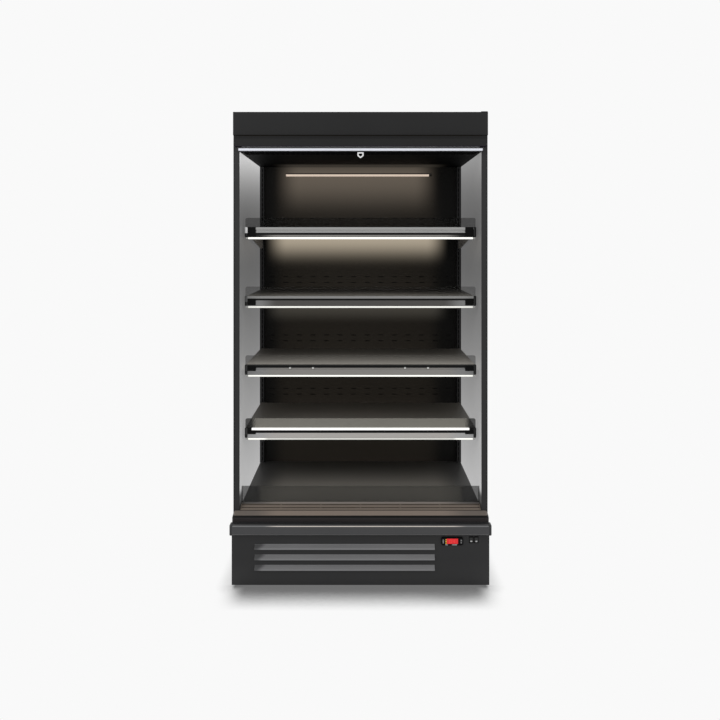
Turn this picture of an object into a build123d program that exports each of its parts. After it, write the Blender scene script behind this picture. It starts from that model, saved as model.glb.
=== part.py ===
from build123d import *

import os
from math import cos, radians, sin

# Open multideck display fridge: a tall insulated cabinet, open at the front, with lit shelves, an air
# curtain blown down from the canopy, a pull-down night blind and its cooling plant in the base.
# Millimetres, +Z up, the open front faces -Y, origin at the middle of the footprint on the floor.

# ---------------------------------------------------------------- driving sizes
# Fits
seat_gap = 0.3  # between pieces that are fixed or stand against each other
lift_gap = 1.5  # round the deck tray, which lifts out
running_gap = 0.05  # radial, on pins and shafts
switch_gap = 0.4  # round keys and rockers

# Cabinet
inner_width = 1030  # clear width between the side liners
liner_thickness = 1
end_panel_thickness = 27
end_panel_edge = 1.5  # rounding of the front edges
cabinet_height = 2010
right_panel_rise = 4  # the right end panel stands proud of the canopy
cabinet_depth = 780  # from the bumper's front to the rear face
floor_gap = 10  # under the end panels and the base panel
bumper_depth = 32
base_step = 37  # the base panel's face ahead of the end panels' front edges
sheet = 1.5  # painted steel sheet
rear_wall_thickness = 55
air_duct_depth = 62  # behind the perforated back panel
back_panel_thickness = 2
perforation_pitch_x = 70
perforation_pitch_z = 30
perforation_rows = 2
perforation_length = 26
perforation_height = 4
perforation_slot = 3  # uprights' slots above the shelf's own, where the holes lie

# Canopy and night blind
ceiling_drop = 170  # the ceiling under the cabinet's top
canopy_roof = 50
canopy_ceiling = 12
canopy_cheek = 12
canopy_duct_roof = 10  # foam over the duct, under the roof slab
canopy_setback = 18  # the lower canopy's front wall behind the end panels' front edges
air_slot_depth = 64
air_slot_setback = 6
grid_columns = 46
grid_rows = 3
grid_web = 2
fascia_height = 99
fascia_depth = 8
fascia_seam = 8
fascia_fold = 1.4  # outer radius of its folds
cassette_height = 43
cassette_depth = 31
cassette_side = 10.5  # how far the cassette stops short of the end panel's outer face
cassette_lip = 6
roller_core_radius = 16.5  # tube with the cloth wound on
roller_pin_radius = 4
roller_end_play = 2
cassette_plate = 2
cloth_thickness = 1
cloth_side_gap = 10  # between the cloth and each side liner
bar_height = 15
bar_depth = 12
bar_round = 3
bar_overlap = 6.5  # the bar reaches past the clear width at each end
bar_gap = 3  # under the cassette
loop_width = 26
loop_height = 25
loop_shoulder = 15
loop_round = 1
loop_thickness = 4
loop_band = 5
loop_neck = 6
loop_neck_width = 12

# Uprights, shelves
upright_width = 20
upright_depth = 24.7
upright_wall = 2
slot_pitch = 25
slot_height = 20
slot_width = 5
slot_edge = 4  # from the upright's inner side to its slots
first_slot_z = 336
shelf_slots = (46, 34, 22, 11)  # slot that each shelf hangs in, from the top shelf down
shelf_setback = 56  # the rail's face behind the end panels' front edges
shelf_side_gap = 10  # between a pan and each side liner
shelf_rear_gap = 31.3  # between a pan and the uprights
rail_rise = 34  # the rail's top above the slot that the shelf hangs in
pan_drop = 5  # the pan's surface under the rail's top
pan_sheet = 1.5
pan_lip = 20
bracket_thickness = 3
bracket_nose = 18
bracket_heel = 64
tongue_height = 8
tongue_reach = 6
rail_end_gap = 2  # a rail's ends inside its pan's
rail_depth = 14
rail_height = 44
rail_round = 2
bead_height = 11
bead_slope = 1
recess_depth = 4
recess_height = 8
face_lean = 1  # the ticket face's top behind its foot
light_height = 8
light_depth = 8
light_end_gap = 3  # a light's ends inside its rail's
riser_thickness = 3
riser_height = 41  # above the rail
riser_end_gap = 1  # a riser's ends inside its rail's
riser_corner = 8
groove_depth = 8
back_light_side_gap = 149  # from each side liner to the light
back_light_height = 15
back_light_depth = 12
back_light_drop = 40  # its middle under the ceiling

# Deck, return grille, nose, bumper, base
deck_z = 326
deck_sheet = 1.5
deck_edge = 18
deck_channel_width = 9
deck_channel_height = 14
deck_riser_height = 75
deck_riser_setback = 35  # behind the end panels' front edges
deck_ledge = 20
grille_front_z = 311
grille_setback = 1  # behind the nose
grille_slot = 3.2
grille_slots = (0.38, 0.865)  # where the slots lie on the slope, from its front edge
grille_frame = 4
grille_thickness = 3
grille_stays = 7
leg_count = 4
leg_margin = 35  # from the side liners to the outer legs
leg_width = 10
nose_bottom_z = 268.3
nose_edge_z = 300
nose_back_z = 309
nose_top_depth = 29
nose_round = 10
nose_corner = 12
bumper_bottom_z = 231
bumper_height = 45
bumper_overhang = 3.5
bumper_round = 9
tub_bottom_z = 205
tub_wall = 25
tub_lip_gap = 1  # under the sloping grille

# Base panel fittings
louvre_left_margin = 97  # from the base panel's left end
louvre_right_margin = 231
louvre_bottoms = (163.5, 119.5, 75.5)
louvre_height = 20
louvre_reach = 12
louvre_slot_margin = 14
louvre_flange = 5
louvre_lip = 6
louvre_slot_height = 12
control_from_end = 157  # from the base panel's right end to the controller's middle
control_z = 196
control_width = 93
control_height = 34
control_proud = 6
control_edge = 1.5
control_body_width = 71
control_body_height = 29
control_body_depth = 34
window_width = 50
window_height = 24
window_depth = 1
key_offset = 37.8
key_width = 8
key_height = 17
key_thickness = 3
key_travel = 0.8
key_proud = 0.3
key_corner = 2
rockers_from_end = (76, 55)
rocker_z = 201
rocker_width = 13
rocker_height = 19
rocker_depth = 9
rocker_taper = 3
rocker_pin_radius = 1.5
switch_wall = 1.6
switch_bezel = 1.9
switch_rim_width = 1
switch_rim_height = 4
switch_depth = 22

# Machine compartment
frame_lift = 4  # the base frame above the end panels' lower edge
frame_width = 30
frame_height = 40
frame_wall = 2.5
frame_rear_gap = 10
frame_front_gap = 3
floor_sheet = 2
boss_radius = 14
boss_height = 20
foot_radius = 24
foot_pad = 7
foot_collar = 4
foot_collar_radius = 11
stud_radius = 5
stud_length = 37
condenser_width = 400
condenser_height = 175
condenser_depth = 50
condenser_side_gap = 95  # from the left side liner
condenser_setback = 43  # behind the base frame's front
coil_plate = 1.5
fin_thickness = 0.8
fin_pitch = 20
coil_tube_radius = 4
fin_lift = 6  # the fins' lower edges above the end plates' feet
evaporator_tube_counts = (5, 2)  # deep, high
condenser_tube_counts = (2, 6)
condenser_fan_z = 112
condenser_fan_gap = 24  # from the coil to the fan's middle
condenser_fan_tip = 72
fan_depth = 18
hub_radius = 20
hub_cap = 4
blade_root = 1  # how far each blade runs into the hub
blade_width = 34
blade_count = 5
blade_thickness = 1.5
blade_pitch = 28  # degrees
shaft_radius = 3
shaft_end_gap = 1
motor_radius = 24
motor_depth = 24
motor_foot_sheet = 3
motor_foot_depth = 40
motor_arm = 8
motor_offset = 5  # between a fan's hub and its motor
evaporator_fan_tip = 68
evaporator_fan_setback = 181  # behind the end panels' front edges
evaporator_fan_z = 278
fan_plate_tilt = 20  # degrees
fan_plate_length = 170
fan_ring_gap = 5
evaporator_side_gap = 85
evaporator_front_gap = 112.5  # from the fan's middle to the coil
evaporator_rear_gap = 97.5
evaporator_height = 74
compressor_side_gap = 160  # from the right side liner
compressor_rear_gap = 185  # from the base frame's rear
compressor_radius = 85
compressor_height = 140
compressor_lift = 24
grommet_pitch = 150
compressor_plate = 6
compressor_plate_margin = 12
grommet_radius = 10
terminal_width = 60
terminal_height = 52
terminal_depth = 24
terminal_corner = 5
drain_tray_side_gap = 95
drain_tray_rear_gap = 60
drain_tray_length = 360
drain_tray_width = 280
drain_tray_height = 40
drain_offset = 40  # from the tray's middle
drain_radius = 10
drain_wall = 2
pipe_radius = 4
pipe_bend = 25
discharge_rise = 20
suction_rise = 10
drain_drop = 10  # the drain pipe's end above its tray
drain_tray_corner = 12
grille_vent_length = 60
grille_vent_height = 6
grille_vent_columns = 9
grille_vent_rows = 6
gland_side_gap = 95
gland_z = 90
gland_radius = 9
gland_length = 20
gland_inside = 12
gland_nut = 5

# ---------------------------------------------------------------- places worked out from them
half_inner = inner_width / 2
panel_inner = half_inner + liner_thickness
half_body = panel_inner + end_panel_thickness
rear_face = cabinet_depth / 2
bumper_front = -cabinet_depth / 2
base_face = bumper_front + bumper_depth
panel_front = base_face + base_step
fascia_face = panel_front - fascia_depth
cassette_face = panel_front - cassette_depth
rear_wall_face = rear_face - rear_wall_thickness
back_panel_rear = rear_wall_face - air_duct_depth
back_panel_face = back_panel_rear - back_panel_thickness
canopy_front = panel_front + canopy_setback
ceiling_z = cabinet_height - ceiling_drop
canopy_roof_bottom = cabinet_height - canopy_roof
fascia_bottom = cabinet_height - fascia_height
cassette_top = fascia_bottom - fascia_seam
cassette_bottom = cassette_top - cassette_height
bar_top = cassette_bottom - bar_gap
bar_bottom = bar_top - bar_height
bar_y = panel_front - 2 * cassette_lip - bar_depth / 2 - seat_gap
roller_y = bar_y + cloth_thickness / 2 + seat_gap + roller_core_radius
roller_z = (cassette_top + cassette_bottom) / 2
cloth_width = inner_width - 2 * cloth_side_gap
plate_inner = cloth_width / 2 + 2 * roller_end_play
between_liners = half_inner - seat_gap
between_panels = panel_inner - seat_gap
upright_front = back_panel_face - upright_depth
shelf_front = panel_front + shelf_setback
shelf_back = upright_front - shelf_rear_gap
shelf_width = inner_width - 2 * shelf_side_gap
rail_width = shelf_width - 2 * rail_end_gap
light_width = rail_width - 2 * light_end_gap
riser_width = rail_width - 2 * riser_end_gap
back_light_width = inner_width - 2 * back_light_side_gap
back_light_z = ceiling_z - back_light_drop
pivot_y = upright_front + upright_wall
upright_x = half_inner - seat_gap - upright_width / 2
upright_side = upright_x - upright_width / 2
bracket_x = upright_side + slot_edge + slot_width / 2
slot_count = int((ceiling_z - first_slot_z) / slot_pitch)
perforation_columns = int((2 * upright_side - perforation_length) / perforation_pitch_x) + 1
deck_riser_y = panel_front + deck_riser_setback
deck_channel_y = deck_riser_y + riser_thickness / 2
deck_top = deck_z
deck_front = deck_channel_y + deck_channel_width / 2
grille_back = deck_channel_y - deck_channel_width / 2 - seat_gap
frame_bottom = floor_gap + frame_lift
frame_top = frame_bottom + frame_height
frame_front = panel_front + frame_front_gap
frame_rear = rear_face - frame_rear_gap
floor_sheet_top = frame_bottom + floor_sheet
plant_floor = floor_sheet_top + seat_gap
foot_x = between_panels - frame_width / 2
foot_front_y = frame_front + frame_width / 2
foot_rear_y = frame_rear - frame_width / 2
louvre_width = 2 * half_body - louvre_left_margin - louvre_right_margin
louvre_centre_x = (louvre_left_margin - louvre_right_margin) / 2
control_x = half_body - control_from_end
rocker_x = [half_body - distance for distance in rockers_from_end]
condenser_x = condenser_side_gap + condenser_width / 2 - half_inner
condenser_y = frame_front + condenser_setback + condenser_depth / 2
condenser_fan_y = condenser_y + condenser_depth / 2 + condenser_fan_gap
compressor_x = half_inner - compressor_side_gap - compressor_radius
compressor_y = frame_rear - compressor_rear_gap - compressor_radius
drain_tray_x = drain_tray_side_gap + drain_tray_length / 2 - half_inner
drain_tray_y = frame_rear - drain_tray_rear_gap - drain_tray_width / 2
drain_x = drain_tray_x + drain_offset
evaporator_fan_y = panel_front + evaporator_fan_setback
evaporator_front = evaporator_fan_y + evaporator_front_gap
evaporator_rear = rear_wall_face - evaporator_rear_gap
evaporator_width = inner_width - 2 * evaporator_side_gap
gland_x = half_inner - gland_side_gap
kick_top = nose_bottom_z - seat_gap
tub_floor = tub_bottom_z + tub_wall
tilt = radians(fan_plate_tilt)
condenser_fan_plane = Plane(
    origin=(condenser_x, condenser_fan_y, condenser_fan_z), x_dir=(1, 0, 0), z_dir=(0, -1, 0)
)
evaporator_fan_plane = Plane(
    origin=(0, evaporator_fan_y, evaporator_fan_z), x_dir=(1, 0, 0), z_dir=(0, -sin(tilt), cos(tilt))
)

# how a rectangle lies on its point: above it, below it, or with its lower left corner on it
above = (Align.CENTER, Align.MIN)
below = (Align.CENTER, Align.MAX)
corner = (Align.MIN, Align.MIN)

os.makedirs("parts", exist_ok=True)

# ---------------------------------------------------------------- end panels and side liners
for label, side, rise in (("end_panel_left", -1, 0), ("end_panel_right", 1, right_panel_rise)):
    with BuildPart() as end_panel:
        with BuildSketch(Plane.YZ.offset(side * panel_inner)):
            with Locations(((panel_front + rear_face) / 2, floor_gap)):
                Rectangle(
                    rear_face - panel_front,
                    cabinet_height + rise - floor_gap,
                    align=above,
                )
        extrude(amount=side * end_panel_thickness)
        fillet(end_panel.edges().filter_by(Axis.Z).group_by(Axis.Y)[0], end_panel_edge)
    end_panel.part.label = label
    export_step(end_panel.part, f"parts/{label}.step")

with BuildPart() as side_liners:
    for side in (-1, 1):
        with BuildSketch(Plane.YZ.offset(side * half_inner)):
            with Locations((panel_front + seat_gap, tub_floor + seat_gap)):
                Rectangle(
                    rear_wall_face - panel_front - 2 * seat_gap,
                    ceiling_z - tub_floor - 2 * seat_gap,
                    align=corner,
                )
        extrude(amount=side * liner_thickness)
side_liners.part.label = "side_liners"
export_step(side_liners.part, "parts/side_liners.step")

# ---------------------------------------------------------------- insulated rear wall and air duct
with BuildPart() as rear_wall:
    with BuildSketch(Plane.XY.offset(tub_bottom_z)):
        with Locations((0, (rear_wall_face + rear_face) / 2)):
            Rectangle(2 * between_panels, rear_wall_thickness)
    extrude(amount=canopy_roof_bottom - seat_gap - tub_bottom_z)
rear_wall.part.label = "rear_wall"
export_step(rear_wall.part, "parts/rear_wall.step")

# The perforated back panel blows part of the cold air straight onto the shelves. Its foot is folded
# forwards into the ledge that carries the deck tray's rear edge.
panel_foot_z = deck_top - deck_sheet - back_panel_thickness
with BuildPart() as back_panel:
    with BuildSketch(Plane.XZ.offset(-back_panel_face)):
        with Locations((0, panel_foot_z)):
            Rectangle(
                2 * between_liners, ceiling_z - seat_gap - panel_foot_z, align=above
            )
    extrude(amount=-back_panel_thickness)
    with BuildSketch(Plane.XY.offset(panel_foot_z)):
        with Locations((0, back_panel_rear)):
            Rectangle(
                2 * (upright_side - seat_gap),
                deck_ledge + back_panel_thickness,
                align=below,
            )
    extrude(amount=back_panel_thickness)
    for slot in shelf_slots:
        with BuildSketch(Plane.XZ.offset(-back_panel_face)):
            with Locations((0, first_slot_z + slot_pitch * (slot + perforation_slot))):
                with GridLocations(
                    perforation_pitch_x, perforation_pitch_z, perforation_columns, perforation_rows
                ):
                    SlotOverall(perforation_length, perforation_height)
        extrude(amount=-back_panel_thickness, mode=Mode.SUBTRACT)
back_panel.part.label = "back_panel"
export_step(back_panel.part, "parts/back_panel.step")

# Slotted channels in the rear corners, which the shelf brackets hook into
upright_bottom = deck_top + seat_gap
with BuildPart() as slotted_uprights:
    for side in (-1, 1):
        with BuildSketch(Plane.XY.offset(upright_bottom)):
            with Locations((side * upright_x, upright_front)):
                Rectangle(upright_width, upright_depth, align=above)
            with Locations((side * upright_x, pivot_y)):
                Rectangle(
                    upright_width - 2 * upright_wall,
                    upright_depth,
                    align=above,
                    mode=Mode.SUBTRACT,
                )
        extrude(amount=ceiling_z - seat_gap - upright_bottom)
        with BuildSketch(Plane.XZ.offset(-upright_front)):
            with Locations((side * bracket_x, first_slot_z + slot_pitch * (slot_count - 1) / 2)):
                with GridLocations(slot_pitch, slot_pitch, 1, slot_count):
                    Rectangle(slot_width, slot_height, align=above)
        extrude(amount=-upright_wall, mode=Mode.SUBTRACT)
slotted_uprights.part.label = "slotted_uprights"
export_step(slotted_uprights.part, "parts/slotted_uprights.step")

# ---------------------------------------------------------------- canopy
# A foamed roof and header, with the air duct from the rear wall to the outlet over the open front
air_slot_front = canopy_front + air_slot_setback
header_bottom = cassette_top + seat_gap + sheet
with BuildPart() as canopy_shell:
    with BuildSketch(Plane.YZ.offset(-between_panels)):
        with BuildLine():
            Polyline(
                (canopy_front, ceiling_z),
                (canopy_front, header_bottom),
                (panel_front, header_bottom),
                (panel_front, cabinet_height),
                (rear_face, cabinet_height),
                (rear_face, canopy_roof_bottom),
                (rear_wall_face - seat_gap, canopy_roof_bottom),
                (rear_wall_face - seat_gap, ceiling_z),
                close=True,
            )
        make_face()
    extrude(amount=2 * between_panels)
    duct_width = 2 * (between_panels - canopy_cheek)
    with BuildSketch(Plane.XY.offset(ceiling_z + canopy_ceiling)):
        with Locations((0, air_slot_front)):
            Rectangle(duct_width, rear_wall_face - air_slot_front, align=above)
    extrude(amount=canopy_roof_bottom - canopy_duct_roof - ceiling_z - canopy_ceiling, mode=Mode.SUBTRACT)
    with BuildSketch(Plane.XY.offset(ceiling_z)):
        with Locations((0, air_slot_front)):
            Rectangle(duct_width, air_slot_depth, align=above)
        with Locations((0, back_panel_rear)):
            Rectangle(duct_width, air_duct_depth, align=above)
    extrude(amount=canopy_ceiling, mode=Mode.SUBTRACT)
canopy_shell.part.label = "canopy_shell"
export_step(canopy_shell.part, "parts/canopy_shell.step")

# The outlet grid straightens the air curtain
with BuildPart() as outlet_grid:
    grid_width = duct_width - 2 * seat_gap
    grid_depth = air_slot_depth - 2 * seat_gap
    cell_pitch_x = (grid_width - grid_web) / grid_columns
    cell_pitch_y = (grid_depth - grid_web) / grid_rows
    with BuildSketch(Plane.XY.offset(ceiling_z)):
        with Locations((0, air_slot_front + air_slot_depth / 2)):
            Rectangle(grid_width, grid_depth)
            with GridLocations(cell_pitch_x, cell_pitch_y, grid_columns, grid_rows):
                Rectangle(cell_pitch_x - grid_web, cell_pitch_y - grid_web, mode=Mode.SUBTRACT)
    extrude(amount=canopy_ceiling)
outlet_grid.part.label = "outlet_grid"
export_step(outlet_grid.part, "parts/outlet_grid.step")

# Upper front band: a shallow folded pan over the header and the end panels' front edges
with BuildPart() as canopy_fascia:
    with BuildSketch(Plane.XZ.offset(-fascia_face)):
        with Locations((0, fascia_bottom)):
            Rectangle(2 * half_body, fascia_height, align=above)
    extrude(amount=-fascia_depth)
    fillet(canopy_fascia.edges().filter_by(Axis.X).group_by(Axis.Y)[0], fascia_fold)
    with BuildSketch(Plane.XZ.offset(-fascia_face - sheet)):
        with Locations((0, fascia_bottom + sheet)):
            Rectangle(2 * (half_body - sheet), fascia_height - 2 * sheet, align=above)
    extrude(amount=-fascia_depth, mode=Mode.SUBTRACT)
canopy_fascia.part.label = "canopy_fascia"
export_step(canopy_fascia.part, "parts/canopy_fascia.step")

# ---------------------------------------------------------------- night blind
# The cassette hooks back under the header, and two plates inside the cabinet hold the roller's pins.
with BuildPart() as blind_cassette:
    cassette_half = half_body - cassette_side
    with BuildSketch(Plane.YZ.offset(-cassette_half)):
        with BuildLine():
            Polyline(
                (cassette_face, cassette_bottom),
                (cassette_face, cassette_top),
                (panel_front - seat_gap, cassette_top),
                (panel_front - seat_gap, cassette_top - sheet),
                (cassette_face + sheet, cassette_top - sheet),
                (cassette_face + sheet, cassette_bottom + sheet),
                (cassette_face + cassette_lip, cassette_bottom + sheet),
                (cassette_face + cassette_lip, cassette_bottom),
                close=True,
            )
        make_face()
    extrude(amount=2 * cassette_half)
    with BuildSketch(Plane.XY.offset(cassette_top - sheet)):
        with Locations((0, panel_front - 2 * sheet)):
            hook_depth = canopy_front + 2 * sheet - panel_front
            Rectangle(2 * between_panels, hook_depth, align=above)
    extrude(amount=sheet)
    for side in (-1, 1):
        with BuildSketch(Plane.YZ.offset(side * cassette_half)):
            with Locations((cassette_face, cassette_bottom)):
                Rectangle(
                    panel_front - seat_gap - cassette_face, cassette_height, align=corner
                )
        extrude(amount=-side * sheet)
        with BuildSketch(Plane.YZ.offset(side * plate_inner)):
            with Locations((cassette_face + sheet, cassette_top)):
                Rectangle(
                    canopy_front - seat_gap - cassette_face - sheet,
                    cassette_height,
                    align=(Align.MIN, Align.MAX),
                )
            with Locations((roller_y, roller_z)):
                Circle(roller_pin_radius + running_gap, mode=Mode.SUBTRACT)
        extrude(amount=side * cassette_plate)
blind_cassette.part.label = "blind_cassette"
export_step(blind_cassette.part, "parts/blind_cassette.step")

with BuildPart() as blind_roller:
    with BuildSketch(Plane.YZ.offset(-cloth_width / 2 - roller_end_play)):
        with Locations((roller_y, roller_z)):
            Circle(roller_core_radius)
    extrude(amount=cloth_width + 2 * roller_end_play)
    with BuildSketch(Plane.YZ.offset(-plate_inner - cassette_plate)):
        with Locations((roller_y, roller_z)):
            Circle(roller_pin_radius)
    extrude(amount=2 * (plate_inner + cassette_plate))
blind_roller.part.label = "blind_roller"
export_step(blind_roller.part, "parts/blind_roller.step")

with BuildPart() as blind_cloth:
    with BuildSketch(Plane.XY.offset(bar_top + seat_gap)):
        with Locations((0, bar_y)):
            Rectangle(cloth_width, cloth_thickness)
    extrude(amount=roller_z - bar_top - seat_gap)
blind_cloth.part.label = "blind_cloth"
export_step(blind_cloth.part, "parts/blind_cloth.step")

with BuildPart() as blind_bar:
    with BuildSketch(Plane.YZ.offset(-half_inner - bar_overlap)):
        with Locations((bar_y, (bar_top + bar_bottom) / 2)):
            RectangleRounded(bar_depth, bar_height, bar_round)
    extrude(amount=2 * (half_inner + bar_overlap))
blind_bar.part.label = "blind_bar"
export_step(blind_bar.part, "parts/blind_bar.step")

# Soft pull loop under the bar: a flat top, and sides that meet in a rounded point
loop_top = bar_bottom - loop_neck
with BuildPart() as pull_loop:
    with BuildSketch(Plane.XZ.offset(-bar_y - loop_thickness / 2)) as loop_face:
        with BuildLine():
            Polyline(
                (-loop_width / 2, loop_top),
                (loop_width / 2, loop_top),
                (loop_width / 2, loop_top - loop_shoulder),
                (0, loop_top - loop_height),
                (-loop_width / 2, loop_top - loop_shoulder),
                close=True,
            )
        make_face()
        fillet(loop_face.vertices(), loop_round)
        offset(amount=-loop_band, kind=Kind.INTERSECTION, mode=Mode.SUBTRACT)
        with Locations((0, bar_bottom)):
            Rectangle(loop_neck_width, loop_neck, align=below)
    extrude(amount=loop_thickness)
pull_loop.part.label = "pull_loop"
export_step(pull_loop.part, "parts/pull_loop.step")

# ---------------------------------------------------------------- light over the top bay
with BuildPart() as back_light:
    with BuildSketch(Plane.YZ.offset(-back_light_width / 2)):
        with BuildLine():
            Polyline(
                (back_panel_face, back_light_z - back_light_height / 2),
                (back_panel_face, back_light_z + back_light_height / 2),
                (back_panel_face - back_light_depth, back_light_z + back_light_height / 2),
                (back_panel_face - back_light_depth, back_light_z),
                (back_panel_face - back_light_depth / 2, back_light_z - back_light_height / 2),
                close=True,
            )
        make_face()
    extrude(amount=back_light_width)
back_light.part.label = "back_light"
export_step(back_light.part, "parts/back_light.step")

# ---------------------------------------------------------------- shelves
# Each is a pan on two brackets, whose tongues hang in the uprights. Lifting its front turns it about
# the slots' lower edges.
for number, slot in enumerate(shelf_slots, start=1):
    hook_z = first_slot_z + slot_pitch * slot
    rail_top = hook_z + rail_rise
    pan_top = rail_top - pan_drop
    pan_under = pan_top - pan_sheet
    rail_back = shelf_front + rail_depth

    with BuildPart() as pan:
        with BuildSketch(Plane.XY.offset(pan_under)):
            with Locations((0, rail_back)):
                Rectangle(shelf_width, shelf_back - rail_back, align=above)
        extrude(amount=pan_sheet)
        with BuildSketch(Plane.XY.offset(pan_under)):
            pan_middle = (rail_back + shelf_back) / 2
            for lip_y in (rail_back + pan_sheet / 2, pan_middle, shelf_back - pan_sheet / 2):
                with Locations((0, lip_y)):
                    Rectangle(2 * (bracket_x - bracket_thickness / 2 - seat_gap), pan_sheet)
        extrude(amount=-pan_lip)
        bracket_top = pan_under - seat_gap
        bracket_front = rail_back + pan_sheet + seat_gap
        heel_y = upright_front - seat_gap
        tongue_z = hook_z + seat_gap
        peg_z = hook_z - 2 * slot_pitch + seat_gap
        for side in (-1, 1):
            with BuildSketch(Plane.YZ.offset(side * bracket_x - bracket_thickness / 2)):
                with BuildLine():
                    Polyline(
                        (pivot_y + tongue_reach, tongue_z),
                        (pivot_y + tongue_reach, tongue_z + tongue_height),
                        (upright_front - upright_wall, tongue_z + tongue_height),
                        (upright_front - upright_wall - tongue_height, bracket_top),
                        (bracket_front, bracket_top),
                        (bracket_front, bracket_top - bracket_nose),
                        (heel_y - bracket_heel, hook_z - bracket_heel),
                        (heel_y, hook_z - bracket_heel),
                        (heel_y, peg_z),
                        (pivot_y + tongue_reach / 2, peg_z),
                        (pivot_y + tongue_reach / 2, peg_z + tongue_height / 2),
                        (heel_y, peg_z + tongue_height / 2),
                        (heel_y, tongue_z),
                        close=True,
                    )
                make_face()
            extrude(amount=bracket_thickness)
    pan.part.label = f"shelf_{number}_pan"
    export_step(pan.part, f"parts/shelf_{number}_pan.step")

    # Price rail: a bead along the top with a groove for the riser, and a tilted ticket face
    with BuildPart() as rail:
        riser_front = shelf_front + rail_depth / 2 - riser_thickness / 2
        riser_back = riser_front + riser_thickness
        with BuildSketch(Plane.YZ.offset(-rail_width / 2)):
            with BuildLine():
                Polyline(
                    (shelf_front, rail_top - rail_round),
                    (shelf_front, rail_top - bead_height),
                    (shelf_front + recess_depth, rail_top - bead_height - bead_slope),
                    (shelf_front + recess_depth, rail_top - bead_height - recess_height),
                    (shelf_front + face_lean, rail_top - bead_height - recess_height - rail_round),
                    (shelf_front + face_lean / 2, rail_top - rail_height + rail_round),
                    (shelf_front + face_lean / 2 + rail_round, rail_top - rail_height),
                    (rail_back, rail_top - rail_height),
                    (rail_back, rail_top),
                    (riser_back + seat_gap, rail_top),
                    (riser_back + seat_gap, rail_top - groove_depth),
                    (riser_front - seat_gap, rail_top - groove_depth),
                    (riser_front - seat_gap, rail_top),
                    (shelf_front + rail_round, rail_top),
                )
                RadiusArc(
                    (shelf_front + rail_round, rail_top), (shelf_front, rail_top - rail_round), -rail_round
                )
            make_face()
        extrude(amount=rail_width)
    rail.part.label = f"shelf_{number}_rail"
    export_step(rail.part, f"parts/shelf_{number}_rail.step")

    with BuildPart() as light:
        with BuildSketch(Plane.YZ.offset(-light_width / 2)):
            with Locations((shelf_front + rail_depth / 2, rail_top - rail_height)):
                Rectangle(light_depth, light_height / 2, align=below)
            with Locations((shelf_front + rail_depth / 2, rail_top - rail_height - light_height / 2)):
                Circle(light_depth / 2)
        extrude(amount=light_width)
    light.part.label = f"shelf_{number}_light"
    export_step(light.part, f"parts/shelf_{number}_light.step")

    with BuildPart() as riser:
        with BuildSketch(Plane.XZ.offset(-riser_front)):
            with Locations((0, rail_top - groove_depth + seat_gap)):
                Rectangle(riser_width, riser_height + groove_depth - seat_gap, align=above)
        extrude(amount=-riser_thickness)
        fillet(riser.edges().filter_by(Axis.Y).group_by(Axis.Z)[-1], riser_corner)
    riser.part.label = f"shelf_{number}_riser"
    export_step(riser.part, f"parts/shelf_{number}_riser.step")

# ---------------------------------------------------------------- deck tray and its riser
# The tray lies on the back panel's ledge and on the return grille's rear flange, and lifts out.
tray_half = half_inner - lift_gap
channel_bottom = deck_top - deck_channel_height / 2
riser_foot = channel_bottom + sheet + seat_gap
with BuildPart() as deck_tray:
    with BuildSketch(Plane.XY.offset(deck_top - deck_sheet)):
        with Locations((0, deck_front)):
            Rectangle(
                2 * (upright_side - lift_gap),
                back_panel_face - lift_gap - deck_front,
                align=above,
            )
        with Locations((0, deck_front)):
            Rectangle(2 * tray_half, upright_front - lift_gap - deck_front, align=above)
    extrude(amount=deck_sheet)
    with BuildSketch(Plane.XY.offset(channel_bottom)):
        with Locations((0, deck_channel_y)):
            Rectangle(2 * tray_half, deck_channel_width)
    extrude(amount=deck_channel_height)
    with BuildSketch(Plane.XY.offset(channel_bottom + sheet)):
        with Locations((0, deck_channel_y)):
            Rectangle(2 * tray_half, riser_thickness + 2 * seat_gap)
    extrude(amount=deck_channel_height, mode=Mode.SUBTRACT)
    with BuildSketch(Plane.XY.offset(deck_top - deck_sheet)):
        for side in (-1, 1):
            with Locations((side * (tray_half - deck_sheet / 2), deck_front)):
                Rectangle(
                    deck_sheet, upright_front - lift_gap - deck_front, align=above
                )
    extrude(amount=-(deck_edge - deck_sheet))
deck_tray.part.label = "deck_tray"
export_step(deck_tray.part, "parts/deck_tray.step")

with BuildPart() as deck_riser:
    with BuildSketch(Plane.XZ.offset(-deck_riser_y)):
        with Locations((0, riser_foot)):
            Rectangle(2 * tray_half, deck_top + deck_riser_height - riser_foot, align=above)
    extrude(amount=-riser_thickness)
deck_riser.part.label = "deck_riser"
export_step(deck_riser.part, "parts/deck_riser.step")

# ---------------------------------------------------------------- tub, return grille, nose, bumper
# The foamed tub holds the evaporator and drains through one hole. A second hole passes the pipes.
pipe_x = compressor_x + compressor_radius + 4 * pipe_bend
tub_front = panel_front
with BuildPart() as tub:
    with BuildSketch(Plane.XY.offset(tub_bottom_z)):
        with Locations((0, tub_front)):
            Rectangle(2 * between_liners, rear_wall_face - seat_gap - tub_front, align=above)
        with Locations((drain_x, drain_tray_y)):
            Circle(drain_radius + seat_gap, mode=Mode.SUBTRACT)
        with Locations((pipe_x, compressor_y)):
            Circle(pipe_radius + seat_gap, mode=Mode.SUBTRACT)
    extrude(amount=tub_wall)
    with BuildSketch(Plane.XY.offset(tub_floor)):
        with Locations((0, tub_front)):
            Rectangle(2 * between_liners, tub_wall, align=above)
    extrude(amount=grille_front_z - grille_thickness - tub_lip_gap - tub_floor)
tub.part.label = "tub"
export_step(tub.part, "parts/tub.step")

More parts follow.
